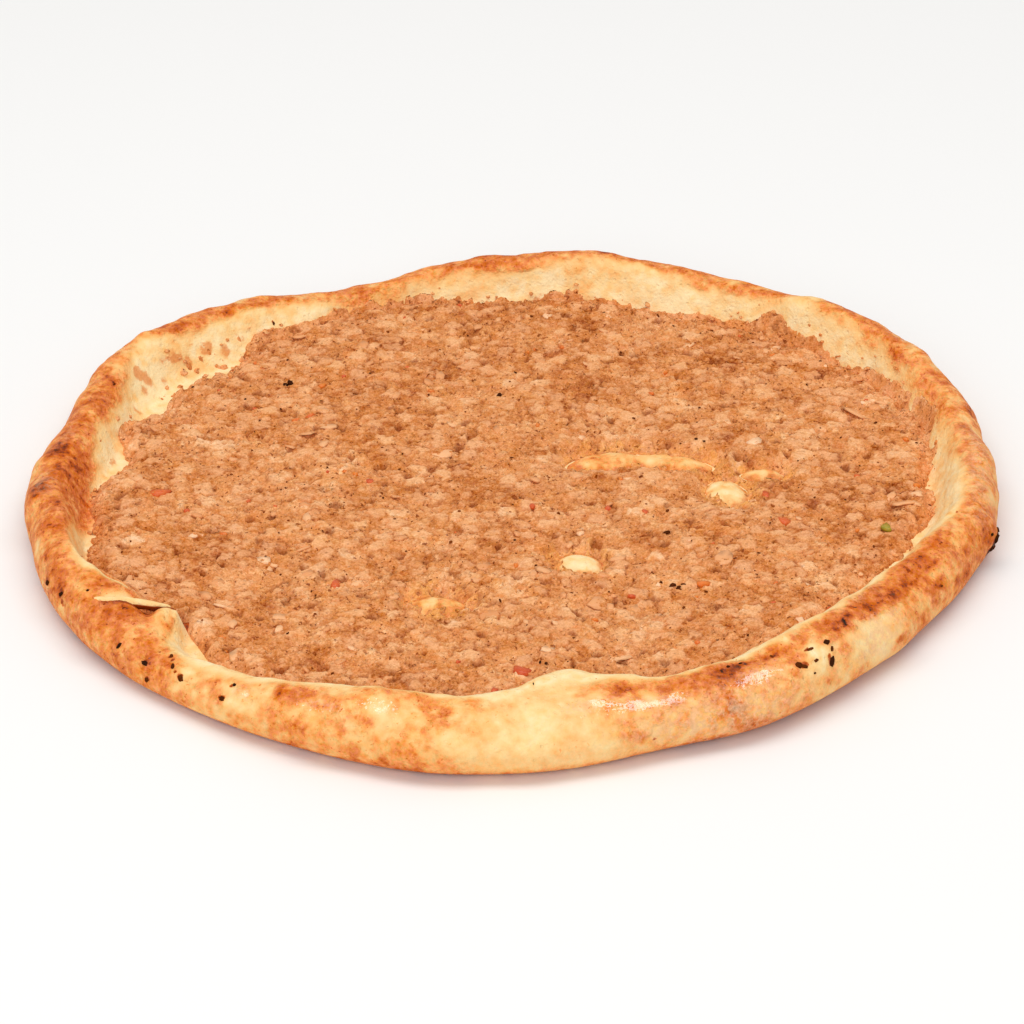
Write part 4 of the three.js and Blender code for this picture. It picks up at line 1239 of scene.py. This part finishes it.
def piece_material(name, stops, grain, roughness, **sockets):
    """A finish for scattered pieces: a ramp over each piece's own tone and fine noise."""
    if name in bpy.data.materials:
        return bpy.data.materials[name]
    material, tree, shader, place = new_material(name, **sockets)
    fine = centred_noise(tree, place, grain, 3.0, 0.6)
    level = plus(tree, attribute(tree, "tone"), fine, 0.5)
    tree.links.new(ramp(tree, level, stops), shader.inputs["Base Color"])
    add_bump(tree, shader, grains(tree, place, grain, 0.1, 3 * grain, 0.05))
    tree.links.new(plus(tree, roughness, fine, 0.3), shader.inputs["Roughness"])
    return material


def onion_material():
    """Cooked onion: soft, slightly glossy, from browned to pale."""
    look = bpy.context.scene.lahmacun_colours
    stops = [
        (0.0, linear((228, 152, 94))), (0.35, linear((234, 164, 108))), (0.65, linear((240, 176, 122))),
        (0.85, (*look.onion, 1)), (1.0, linear((250, 202, 158))),
    ]
    return piece_material("cooked_onion", stops, 1.1, 0.42, Coat_Weight=0.15, IOR=1.3)


def pepper_material():
    """Cooked pepper, from red over orange to green."""
    look = bpy.context.scene.lahmacun_colours
    stops = [
        (0.0, linear((196, 66, 22))), (0.2, (*look.pepper, 1)), (0.5, linear((232, 126, 44))),
        (0.75, linear((196, 150, 40))), (1.0, linear((140, 140, 36))),
    ]
    return piece_material("cooked_pepper", stops, 0.9, 0.4, Coat_Weight=0.2, IOR=1.35)


def fleck_material():
    """Burnt flecks and ground pepper, from char to brown."""
    look = bpy.context.scene.lahmacun_colours
    stops = [
        (0.0, (*look.char, 1)), (0.35, linear((72, 32, 8))), (0.7, linear((120, 56, 14))),
        (1.0, linear((154, 80, 30))),
    ]
    return piece_material("burnt_fleck", stops, 0.5, 0.7, IOR=1.1)


# ---- Pieces -------------------------------------------------------------------------------------

DOUGH_FIELDS = ("bake", "scorch", "oil", "pale", "stain")
MINCE_FIELDS = ("flake", "tone", "hollow", "granule", "thin", "glaze")
DOME_ROWS, DOME_COLUMNS = 40, 96
BOWL_DEPTH = 1.5  # how far a bubble's hidden underside bulges down
LIP_STEPS, LIP_SIDES = 110, 28
LIP_SMOOTHING = 13  # steps over which the lip's sizes are averaged


def closed_grid(points):
    """Quads of a grid whose columns close on themselves, and a fan to a pole before and after it."""
    rows, columns = points.shape[:2]
    index = np.arange(rows * columns).reshape(rows, columns)
    ahead = np.roll(index, -1, axis=1)
    quads = np.stack([index[:-1], ahead[:-1], ahead[1:], index[1:]], axis=-1).reshape(-1, 4)
    first = np.full(columns, rows * columns)
    start = np.stack([first, ahead[0], index[0]], axis=-1)
    end = np.stack([index[-1], ahead[-1], first + 1], axis=-1)
    return [quads, start, end]


def filled(names, count, given):
    """A field for each name, at each of `count` points: its given values, or 0."""
    return {name: np.broadcast_to(given.get(name, 0.0), count) for name in names}


def make_bread():
    """The bread's skin, closed by a pole under its middle and one on top, which have bakings of their
    own and no marks."""
    skin = bread_skin()
    poles = [(0, 0, 0), (0, 0, skin.rim.floor)]
    points = np.vstack([skin.points.reshape(-1, 3), poles])
    fields = {name: np.append(getattr(skin, name).ravel(), (0, 0)) for name in DOUGH_FIELDS}
    fields["bake"][-2:] = 0.5, 0.1
    piece = new_piece("bread", points, closed_grid(skin.points), dough_material(), fields)
    return finish_piece(piece, "crust")


def dome(middle, half, turn, rise):
    """A closed dough bubble: rings of an ellipse whose share of the outline is cos(t), on the bubble's
    surface in the upper half, and on a shallow bowl of BOWL_DEPTH * sin(t) in the lower one."""
    tilt = np.linspace(-np.pi / 2, np.pi / 2, DOME_ROWS + 2)[1:-1, None]
    around = np.linspace(0, 2 * np.pi, DOME_COLUMNS, endpoint=False)[None]
    share = np.cos(tilt) + 0 * around
    along, aside = half[0] * share * np.cos(around), half[1] * share * np.sin(around)
    cos, sin = np.cos(np.radians(turn)), np.sin(np.radians(turn))
    x = middle[0] + along * cos - aside * sin
    y = middle[1] + along * sin + aside * cos
    upper = bubble_surface(x, y, share, rise)
    lower = bread_sizes().dough_thickness - ROOT + BOWL_DEPTH * np.sin(tilt)
    return np.stack([x, y, np.where(tilt > 0, upper, lower)], axis=-1)


def joined(parts):
    """Several closed grids with their poles, as one list of points and faces."""
    points, quads, fans, start = [], [], [], 0
    for grid in parts:
        poles = np.stack([grid[0].mean(axis=0), grid[-1].mean(axis=0)])
        own = closed_grid(grid)
        points += [grid.reshape(-1, 3), poles]
        quads.append(own[0] + start)
        fans += [own[1] + start, own[2] + start]
        start += grid.shape[0] * grid.shape[1] + 2
    return np.vstack(points), [np.vstack(quads), np.vstack(fans)]


def make_bubbles():
    """The dough bubbles, each with its own baking, browner and stained where the mince laps over it."""
    domes = [dome(middle, half, turn, rise) for middle, half, turn, rise, _, _ in BUBBLES]
    points, faces = joined(domes)
    usual = np.repeat([baked for *_, baked in BUBBLES], DOME_ROWS * DOME_COLUMNS + 2)
    lapped = bubble_field(points[:, 0], points[:, 1])[1]
    uneven = soft_noise(points, 4.5, 53) + 0.6 * soft_noise(points, 2, 57)
    bake = np.clip(usual + 0.14 * smoothstep(lapped, -2.4, 0.6) + 0.2 * uneven, 0, 1)
    stain = 0.6 * smoothstep(lapped, -2.8, 0.6) + 0.45 * uneven
    fields = filled(DOUGH_FIELDS, len(points), {"bake": bake, "stain": stain})
    piece = new_piece("dough_bubbles", points, faces, dough_material(), fields)
    return finish_piece(piece, "crust")


def make_lip():
    """The folded dough's lip: a section with a rounded upper edge and a deep lower half, carried along
    a line whose places and sizes run straight from point to point and are then smoothed by a running
    mean. Its front is darkened low down with painted shade, where it goes into the crease."""
    share = np.linspace(0, 1, LIP_STEPS)
    knots = np.linspace(0, 1, len(LIP_LINE))
    mean = np.ones(LIP_SMOOTHING) / LIP_SMOOTHING
    sizes = []
    for values in zip(*LIP_LINE):
        straight = np.pad(np.interp(share, knots, values), LIP_SMOOTHING // 2, mode="edge")
        sizes.append(np.convolve(straight, mean, "valid")[:, None])
    x, y, top, half_width, half_height = sizes
    taper = (np.clip(1 - (2 * share - 1) ** 8, 0.02, 1) ** 0.5)[:, None]
    around = np.linspace(0, 2 * np.pi, LIP_SIDES, endpoint=False)[None]
    flat = np.zeros((LIP_STEPS, LIP_SIDES))
    aside = taper * half_width * np.cos(around)
    rise = taper * np.where(np.sin(around) > 0, half_height, LIP_DEPTH) * np.sin(around)
    grid = np.stack([x + flat, y + aside, top - half_height + rise], axis=-1)
    # Painted shade: the lip's lower front, where it goes into the crease, is darkened as the crease's
    # shade.
    burnt = smoothstep(-np.sin(around), -0.25, 0.2) * smoothstep(-np.cos(around), -0.2, 0.3)
    grid += 0.25 * np.stack([flat, soft_noise(grid, 3, 58), soft_noise(grid, 3.4, 59)], axis=-1)
    points, faces = joined([grid])
    bake = np.clip(0.14 + 0.1 * soft_noise(points, 4, 56), 0, 1)
    scorch = np.append((burnt + flat).ravel(), (0, 0))
    fields = filled(DOUGH_FIELDS, len(points), {"bake": bake, "scorch": scorch})
    piece = new_piece("folded_lip", points, faces, dough_material(), fields)
    return finish_piece(piece, "crust")


def make_mince():
    """The mince's grid in four quarters, each a closed patch. Their normals are those of the whole grid,
    so no seam shows between them."""
    points, normals, top = mince_grid()
    half = MINCE_STEPS // 2
    halves = (("left", slice(0, half + 1)), ("right", slice(half, None)))
    depths = (("front", slice(0, half + 1)), ("back", slice(half, None)))
    for (side, columns), (depth, rows) in product(halves, depths):
        fields = {name: getattr(top, name)[columns, rows] for name in MINCE_FIELDS}
        solid = closed_patch(points[columns, rows], normals[columns, rows], fields)
        patch, faces, own_fields, own_normals = solid
        piece = new_piece(f"mince_{depth}_{side}", patch, faces, mince_material(), own_fields, own_normals)
        finish_piece(piece, "mince_topping")


def make_onion_flakes():
    """Thin slices of onion, partly sunk in the mince, at random places and at the named ones."""
    count = bpy.context.scene.lahmacun_toppings.onion_flakes
    x, y = random_places(count, 61)
    named = np.array(NAMED_ONIONS)
    random = np.random.default_rng(62)
    length = np.concatenate([random.uniform(1.2, 2.6, len(x)), named[:, 2]])
    x, y = with_named(x, y, named)
    width = length * random.uniform(0.5, 0.85, len(x))
    halves = np.column_stack([length, width, random.uniform(0.26, 0.36, len(x))])
    middles = on_the_mince(x, y, -0.12)
    shape = slice_shape(8)
    points, faces = copies(shape, middles, halves, tilted(len(x), 63, 0.2), 0.26, 64)
    tone = per_corner(random.uniform(0, 1, len(x)) ** 1.4, shape)
    piece = new_piece("onion_flakes", points, [faces], onion_material(), {"tone": tone})
    return finish_piece(piece, "mince_topping")


def make_pepper_bits():
    """Thick slices of pepper, mostly red, at random places and at the named ones."""
    count = bpy.context.scene.lahmacun_toppings.pepper_bits
    x, y = random_places(count, 71)
    named = np.array(NAMED_PEPPERS)
    random = np.random.default_rng(72)
    length = np.concatenate([random.uniform(0.6, 1.5, len(x)), named[:, 2]])
    hue = np.concatenate([random.choice([0.15, 0.25, 0.4, 0.5], len(x)), named[:, 3]])
    x, y = with_named(x, y, named)
    halves = np.column_stack([length, length * random.uniform(0.45, 0.8, len(x)), 0.35 + 0.16 * length])
    middles = on_the_mince(x, y, -0.05)
    shape = slice_shape(7)
    points, faces = copies(shape, middles, halves, tilted(len(x), 73, 0.25), 0.24, 74)
    piece = new_piece("pepper_bits", points, [faces], pepper_material(), {"tone": per_corner(hue, shape)})
    return finish_piece(piece, "mince_topping")


def make_mince_flecks():
    """Ground pepper as small brown crumbs at random places, and darker burnt bits at the named ones."""
    count = bpy.context.scene.lahmacun_toppings.flecks
    x, y = random_places(count, 81, 1)
    named = np.array(MINCE_FLECKS)
    random = np.random.default_rng(82)
    size = np.concatenate([0.24 + 0.4 * random.uniform(0, 1, len(x)) ** 2, 0.75 * named[:, 2]])
    tone = np.concatenate([random.uniform(0.35, 1, len(x)), random.uniform(0.1, 0.4, len(named))])
    x, y = with_named(x, y, named)
    halves = size[:, None] * random.uniform(0.5, 1.2, (len(x), 3)) * (1.2, 0.8, 0.5)
    middles = on_the_mince(x, y, 0.05)
    shape = icosahedron()
    points, faces = copies(shape, middles, halves, tilted(len(x), 83, 0.4), 0.3, 84)
    piece = new_piece("mince_flecks", points, [faces], fleck_material(), {"tone": per_corner(tone, shape)})
    return finish_piece(piece, "mince_topping")


def make_rim_flecks():
    """Burnt flecks on the rim's skin. Each stands on its own normal, turned from along the rim."""
    entries = np.array(RIM_FLECKS)
    random = np.random.default_rng(91)
    middles, ups = on_the_skin(bread_skin(), entries[:, :2])
    place, turn = np.radians(entries[:, :1]), np.radians(entries[:, 4:])
    along = np.hstack([-np.sin(place), np.cos(place), 0 * place])
    sides = np.cos(turn) * along + np.sin(turn) * np.cross(ups, along)
    length, width = entries[:, 2], entries[:, 3]
    halves = np.column_stack([length, width, 0.2 + 0.4 * width])
    halves = halves * random.uniform(0.8, 1.1, (len(entries), 3))
    shape = finer(*icosahedron())
    points, faces = copies(shape, middles, halves, ups, 0.25, 92, sides)
    tone = per_corner(random.uniform(0, 0.6, len(entries)), shape)
    piece = new_piece("rim_flecks", points, [faces], fleck_material(), {"tone": tone})
    return finish_piece(piece, "crust")


def make_crumbs():
    """Crumbs of mince, some strewn over the bare corner at the back left and the others along the
    mince's border. Those that would lie near the crest are left out."""
    random = np.random.default_rng(101)
    corner = random.normal(BARE_CORNER, CORNER_SPREAD, (CORNER_CRUMBS, 2))
    degrees = random.uniform(*BORDER_RANGE, BORDER_CRUMBS) % 360
    rim = rim_at(degrees)
    border = rim.inset + swell(degrees, MINCE_BORDER, BORDER_SWELLS)
    reach = rim.radius - border - random.normal(0.6, 1.1, len(degrees))
    edge = np.column_stack([reach * np.cos(rim.angle), reach * np.sin(rim.angle)])
    x, y = np.vstack([corner, edge]).T
    rim = rim_at(np.degrees(np.arctan2(y, x)) % 360)
    inset = rim.radius - np.hypot(x, y)
    kept = inset > rim.inset + CREST_CLEAR
    x, y = x[kept], y[kept]
    level = np.maximum(mince_at(x, y).height, slope_height(inset[kept], rim_at(rim.degrees[kept])))
    size = 0.3 + 0.8 * random.uniform(0, 1, len(x)) ** 2
    halves = size[:, None] * random.uniform(0.6, 1.3, (len(x), 3)) * (1, 1, 0.6)
    middles = np.column_stack([x, y, level + 0.05 * size])
    shape = finer(*icosahedron())
    points, faces = copies(shape, middles, halves, tilted(len(x), 102, 0.3), 0.34, 103)
    tone = per_corner(random.uniform(0.4, 0.95, len(x)), shape)
    fields = filled(MINCE_FIELDS, len(points), {"tone": tone, "granule": 0.5, "thin": 0.5})
    piece = new_piece("mince_crumbs", points, [faces], mince_material(), fields)
    return finish_piece(piece, "mince_topping")


# ---- Stage --------------------------------------------------------------------------------------

# Softboxes: name, place and size in metres, and the setting that holds the power.
SOFTBOXES = (
    ("overhead_softbox", (0, 0.02, 1.6), (2.2, 0.65), "overhead_power"),
    ("front_softbox", (-0.3, -1.5, 1.0), (1.6, 1.0), "front_power"),
)
FLOOR_HALF = 3.0  # metres
FLOOR_SHADE = 0.985  # brightness of its darker clouds
LENS, SENSOR = 135, 36  # millimetres


def look_along(item, place, target):
    """Puts a light or camera at a place and points it at a target, both in metres."""
    item.location = place
    item.rotation_mode = "QUATERNION"
    item.rotation_quaternion = (Vector(target) - Vector(place)).to_track_quat("-Z", "Y")


def add_softbox(name, place, size, power):
    """A rectangular area light that points at the bread."""
    light = bpy.data.lights.new(name, "AREA")
    light.shape = "RECTANGLE"
    light.size, light.size_y = size
    light.energy = power
    item = bpy.data.objects.new(name, light)
    bpy.context.scene.collection.objects.link(item)
    look_along(item, place, (0, 0, 0))


def make_floor(stage):
    """A large level square with faint clouds in its colour."""
    half = FLOOR_HALF
    mesh = bpy.data.meshes.new("floor")
    corners = [(-half, -half, 0), (half, -half, 0), (half, half, 0), (-half, half, 0)]
    mesh.from_pydata(corners, [], [(0, 1, 2, 3)])
    material, tree, shader, place = new_material("pale_floor", Roughness=0.9)
    pale = (*stage.floor_colour, 1)
    shaded = (*(FLOOR_SHADE * value for value in stage.floor_colour), 1)
    clouds = mix(tree, noise(tree, place, 300, 1.0), pale, shaded)
    tree.links.new(clouds, shader.inputs["Base Color"])
    mesh.materials.append(material)
    floor = bpy.data.objects.new("floor", mesh)
    bpy.context.scene.collection.objects.link(floor)


def make_world(stage):
    """White light from all round, and colours shown as they are."""
    scene = bpy.context.scene
    scene.world = scene.world or bpy.data.worlds.new("studio")
    scene.world.use_nodes = True
    background = scene.world.node_tree.nodes["Background"]
    background.inputs["Color"].default_value = (1, 1, 1, 1)
    background.inputs["Strength"].default_value = stage.room_light
    scene.view_settings.view_transform = "Standard"
    scene.view_settings.look = "None"


def make_camera(stage):
    """The camera in front of the bread, raised by its elevation and pointed at its target."""
    camera = bpy.data.cameras.new("camera")
    camera.lens, camera.sensor_width = LENS, SENSOR
    item = bpy.data.objects.new("camera", camera)
    bpy.context.scene.collection.objects.link(item)
    rise = stage.camera_elevation
    back = Vector((0, -np.cos(rise), np.sin(rise)))
    target = Vector(stage.camera_target)
    look_along(item, target + back * stage.camera_distance, target)
    bpy.context.scene.camera = item


# ---- What the user can change -------------------------------------------------------------------


def length_setting(name, description, millimetres):
    """A length, given here in millimetres and held in metres."""
    return bpy.props.FloatProperty(
        name=name, description=description, default=millimetres * MM, min=0, unit="LENGTH", precision=4
    )


def colour_setting(name, description, value):
    """A colour, given here as 0 to 255 for each channel and held as a linear one."""
    return bpy.props.FloatVectorProperty(
        name=name, description=description, default=linear(value)[:3], min=0, max=1, size=3, subtype="COLOR"
    )


class LahmacunBread(bpy.types.PropertyGroup):
    """Sizes of the bread"""

    half_length: length_setting("Half length", "Middle to the outside of the rim, along X", 141)
    half_width: length_setting("Half width", "Middle to the outside of the rim, along Y", 138)
    rim_height: length_setting("Rim height", "Usual height of the rim's crest", 17)
    rim_width: length_setting("Rim width", "Outside of the rim to the foot of its inner slope", 20)
    crest_inset: length_setting("Crest inset", "Outside of the rim to its crest", 9)
    dough_thickness: length_setting("Dough thickness", "Flat bread under the mince", 5)


class LahmacunToppings(bpy.types.PropertyGroup):
    """How many scattered pieces there are"""

    onion_flakes: bpy.props.IntProperty(
        name="Onion flakes", description="Loose flakes on the mince", default=150, min=1, max=2000
    )
    pepper_bits: bpy.props.IntProperty(
        name="Pepper bits", description="Small red and green bits", default=50, min=1, max=1000
    )
    flecks: bpy.props.IntProperty(
        name="Flecks", description="Ground pepper and small burnt flecks", default=520, min=1, max=4000
    )


class LahmacunColours(bpy.types.PropertyGroup):
    """Colours of the finishes"""

    cream: colour_setting("Cream", "Dough that is hardly baked", (252, 228, 176))
    gold: colour_setting("Gold", "Dough that is baked golden", (249, 186, 112))
    toast: colour_setting("Toast", "Dough that is baked orange-brown", (225, 124, 58))
    char: colour_setting("Char", "Burnt dough and flecks", (40, 22, 12))
    mince: colour_setting("Mince", "Middle tone of the mince", (225, 148, 90))
    onion: colour_setting("Onion", "Middle tone of cooked onion", (245, 185, 132))
    pepper: colour_setting("Pepper", "Cooked red pepper", (218, 96, 40))


class LahmacunStage(bpy.types.PropertyGroup):
    """Camera, lights and floor"""

    camera_elevation: bpy.props.FloatProperty(
        name="Camera elevation", description="Angle above the table", default=np.radians(31),
        subtype="ANGLE",
    )
    camera_distance: length_setting("Camera distance", "Camera to the point that it looks at", 1100)
    camera_target: bpy.props.FloatVectorProperty(
        name="Camera target", description="Point that the camera looks at",
        default=(-0.2 * MM, -12.5 * MM, 8 * MM), size=3, subtype="XYZ", unit="LENGTH",
    )
    overhead_power: bpy.props.FloatProperty(
        name="Overhead softbox", description="Power in watts", default=14, min=0
    )
    front_power: bpy.props.FloatProperty(
        name="Front softbox", description="Power in watts", default=10, min=0
    )
    room_light: bpy.props.FloatProperty(
        name="Room light", description="Strength of the light from all round", default=0.55, min=0
    )
    floor_colour: colour_setting("Floor", "Pale table top", (244, 243, 241))


# ---- Operators ----------------------------------------------------------------------------------


class LAHMACUN_OT_bread(bpy.types.Operator):
    """Make the bread, its folded lip and the dough bubbles that stand through the mince"""

    bl_idname = "lahmacun.bread"
    bl_label = "Bread"

    def execute(self, context):
        make_bread()
        make_bubbles()
        make_lip()
        return {"FINISHED"}


class LAHMACUN_OT_mince(bpy.types.Operator):
    """Make the mince in four quarters, and its crumbs"""

    bl_idname = "lahmacun.mince"
    bl_label = "Mince"

    def execute(self, context):
        make_mince()
        make_crumbs()
        return {"FINISHED"}


class LAHMACUN_OT_onion(bpy.types.Operator):
    """Scatter the onion flakes"""

    bl_idname = "lahmacun.onion"
    bl_label = "Onion flakes"

    def execute(self, context):
        make_onion_flakes()
        return {"FINISHED"}


class LAHMACUN_OT_pepper(bpy.types.Operator):
    """Scatter the red and green pepper bits"""

    bl_idname = "lahmacun.pepper"
    bl_label = "Pepper bits"

    def execute(self, context):
        make_pepper_bits()
        return {"FINISHED"}


class LAHMACUN_OT_flecks(bpy.types.Operator):
    """Scatter the flecks in the mince and on the rim"""

    bl_idname = "lahmacun.flecks"
    bl_label = "Flecks"

    def execute(self, context):
        make_mince_flecks()
        make_rim_flecks()
        return {"FINISHED"}


class LAHMACUN_OT_stage(bpy.types.Operator):
    """Make the floor, the lights and the camera"""

    bl_idname = "lahmacun.stage"
    bl_label = "Stage"

    def execute(self, context):
        stage = context.scene.lahmacun_stage
        make_camera(stage)
        make_world(stage)
        make_floor(stage)
        for name, place, size, power in SOFTBOXES:
            add_softbox(name, place, size, getattr(stage, power))
        return {"FINISHED"}


class LAHMACUN_PT_panel(bpy.types.Panel):
    """Lists the pieces and what can be changed"""

    bl_label = "Lahmacun"
    bl_idname = "LAHMACUN_PT_panel"
    bl_space_type = "VIEW_3D"
    bl_region_type = "UI"
    bl_category = "Lahmacun"

    def draw(self, context):
        for operator in OPERATORS:
            self.layout.operator(operator.bl_idname)
        for name in GROUPS:
            group = getattr(context.scene, name)
            box = self.layout.box()
            box.label(text=group.bl_rna.description)
            for prop in group.__annotations__:
                box.prop(group, prop)


GROUPS = {
    "lahmacun_bread": LahmacunBread,
    "lahmacun_toppings": LahmacunToppings,
    "lahmacun_colours": LahmacunColours,
    "lahmacun_stage": LahmacunStage,
}
OPERATORS = (
    LAHMACUN_OT_stage,
    LAHMACUN_OT_bread,
    LAHMACUN_OT_mince,
    LAHMACUN_OT_onion,
    LAHMACUN_OT_pepper,
    LAHMACUN_OT_flecks,
)


def register():
    """Makes the classes known, and hangs the settings on the scene."""
    for item in (*GROUPS.values(), *OPERATORS, LAHMACUN_PT_panel):
        bpy.utils.register_class(item)
    for name, group in GROUPS.items():
        setattr(bpy.types.Scene, name, bpy.props.PointerProperty(type=group))


def unregister():
    """Takes away what register() made."""
    for name in GROUPS:
        delattr(bpy.types.Scene, name)
    for item in (LAHMACUN_PT_panel, *OPERATORS[::-1], *reversed(GROUPS.values())):
        bpy.utils.unregister_class(item)


def main():
    """Builds the stage and the pieces."""
    register()
    bpy.ops.lahmacun.stage()
    bpy.ops.lahmacun.bread()
    bpy.ops.lahmacun.mince()
    bpy.ops.lahmacun.onion()
    bpy.ops.lahmacun.pepper()
    bpy.ops.lahmacun.flecks()


if __name__ == "__main__":
    main()
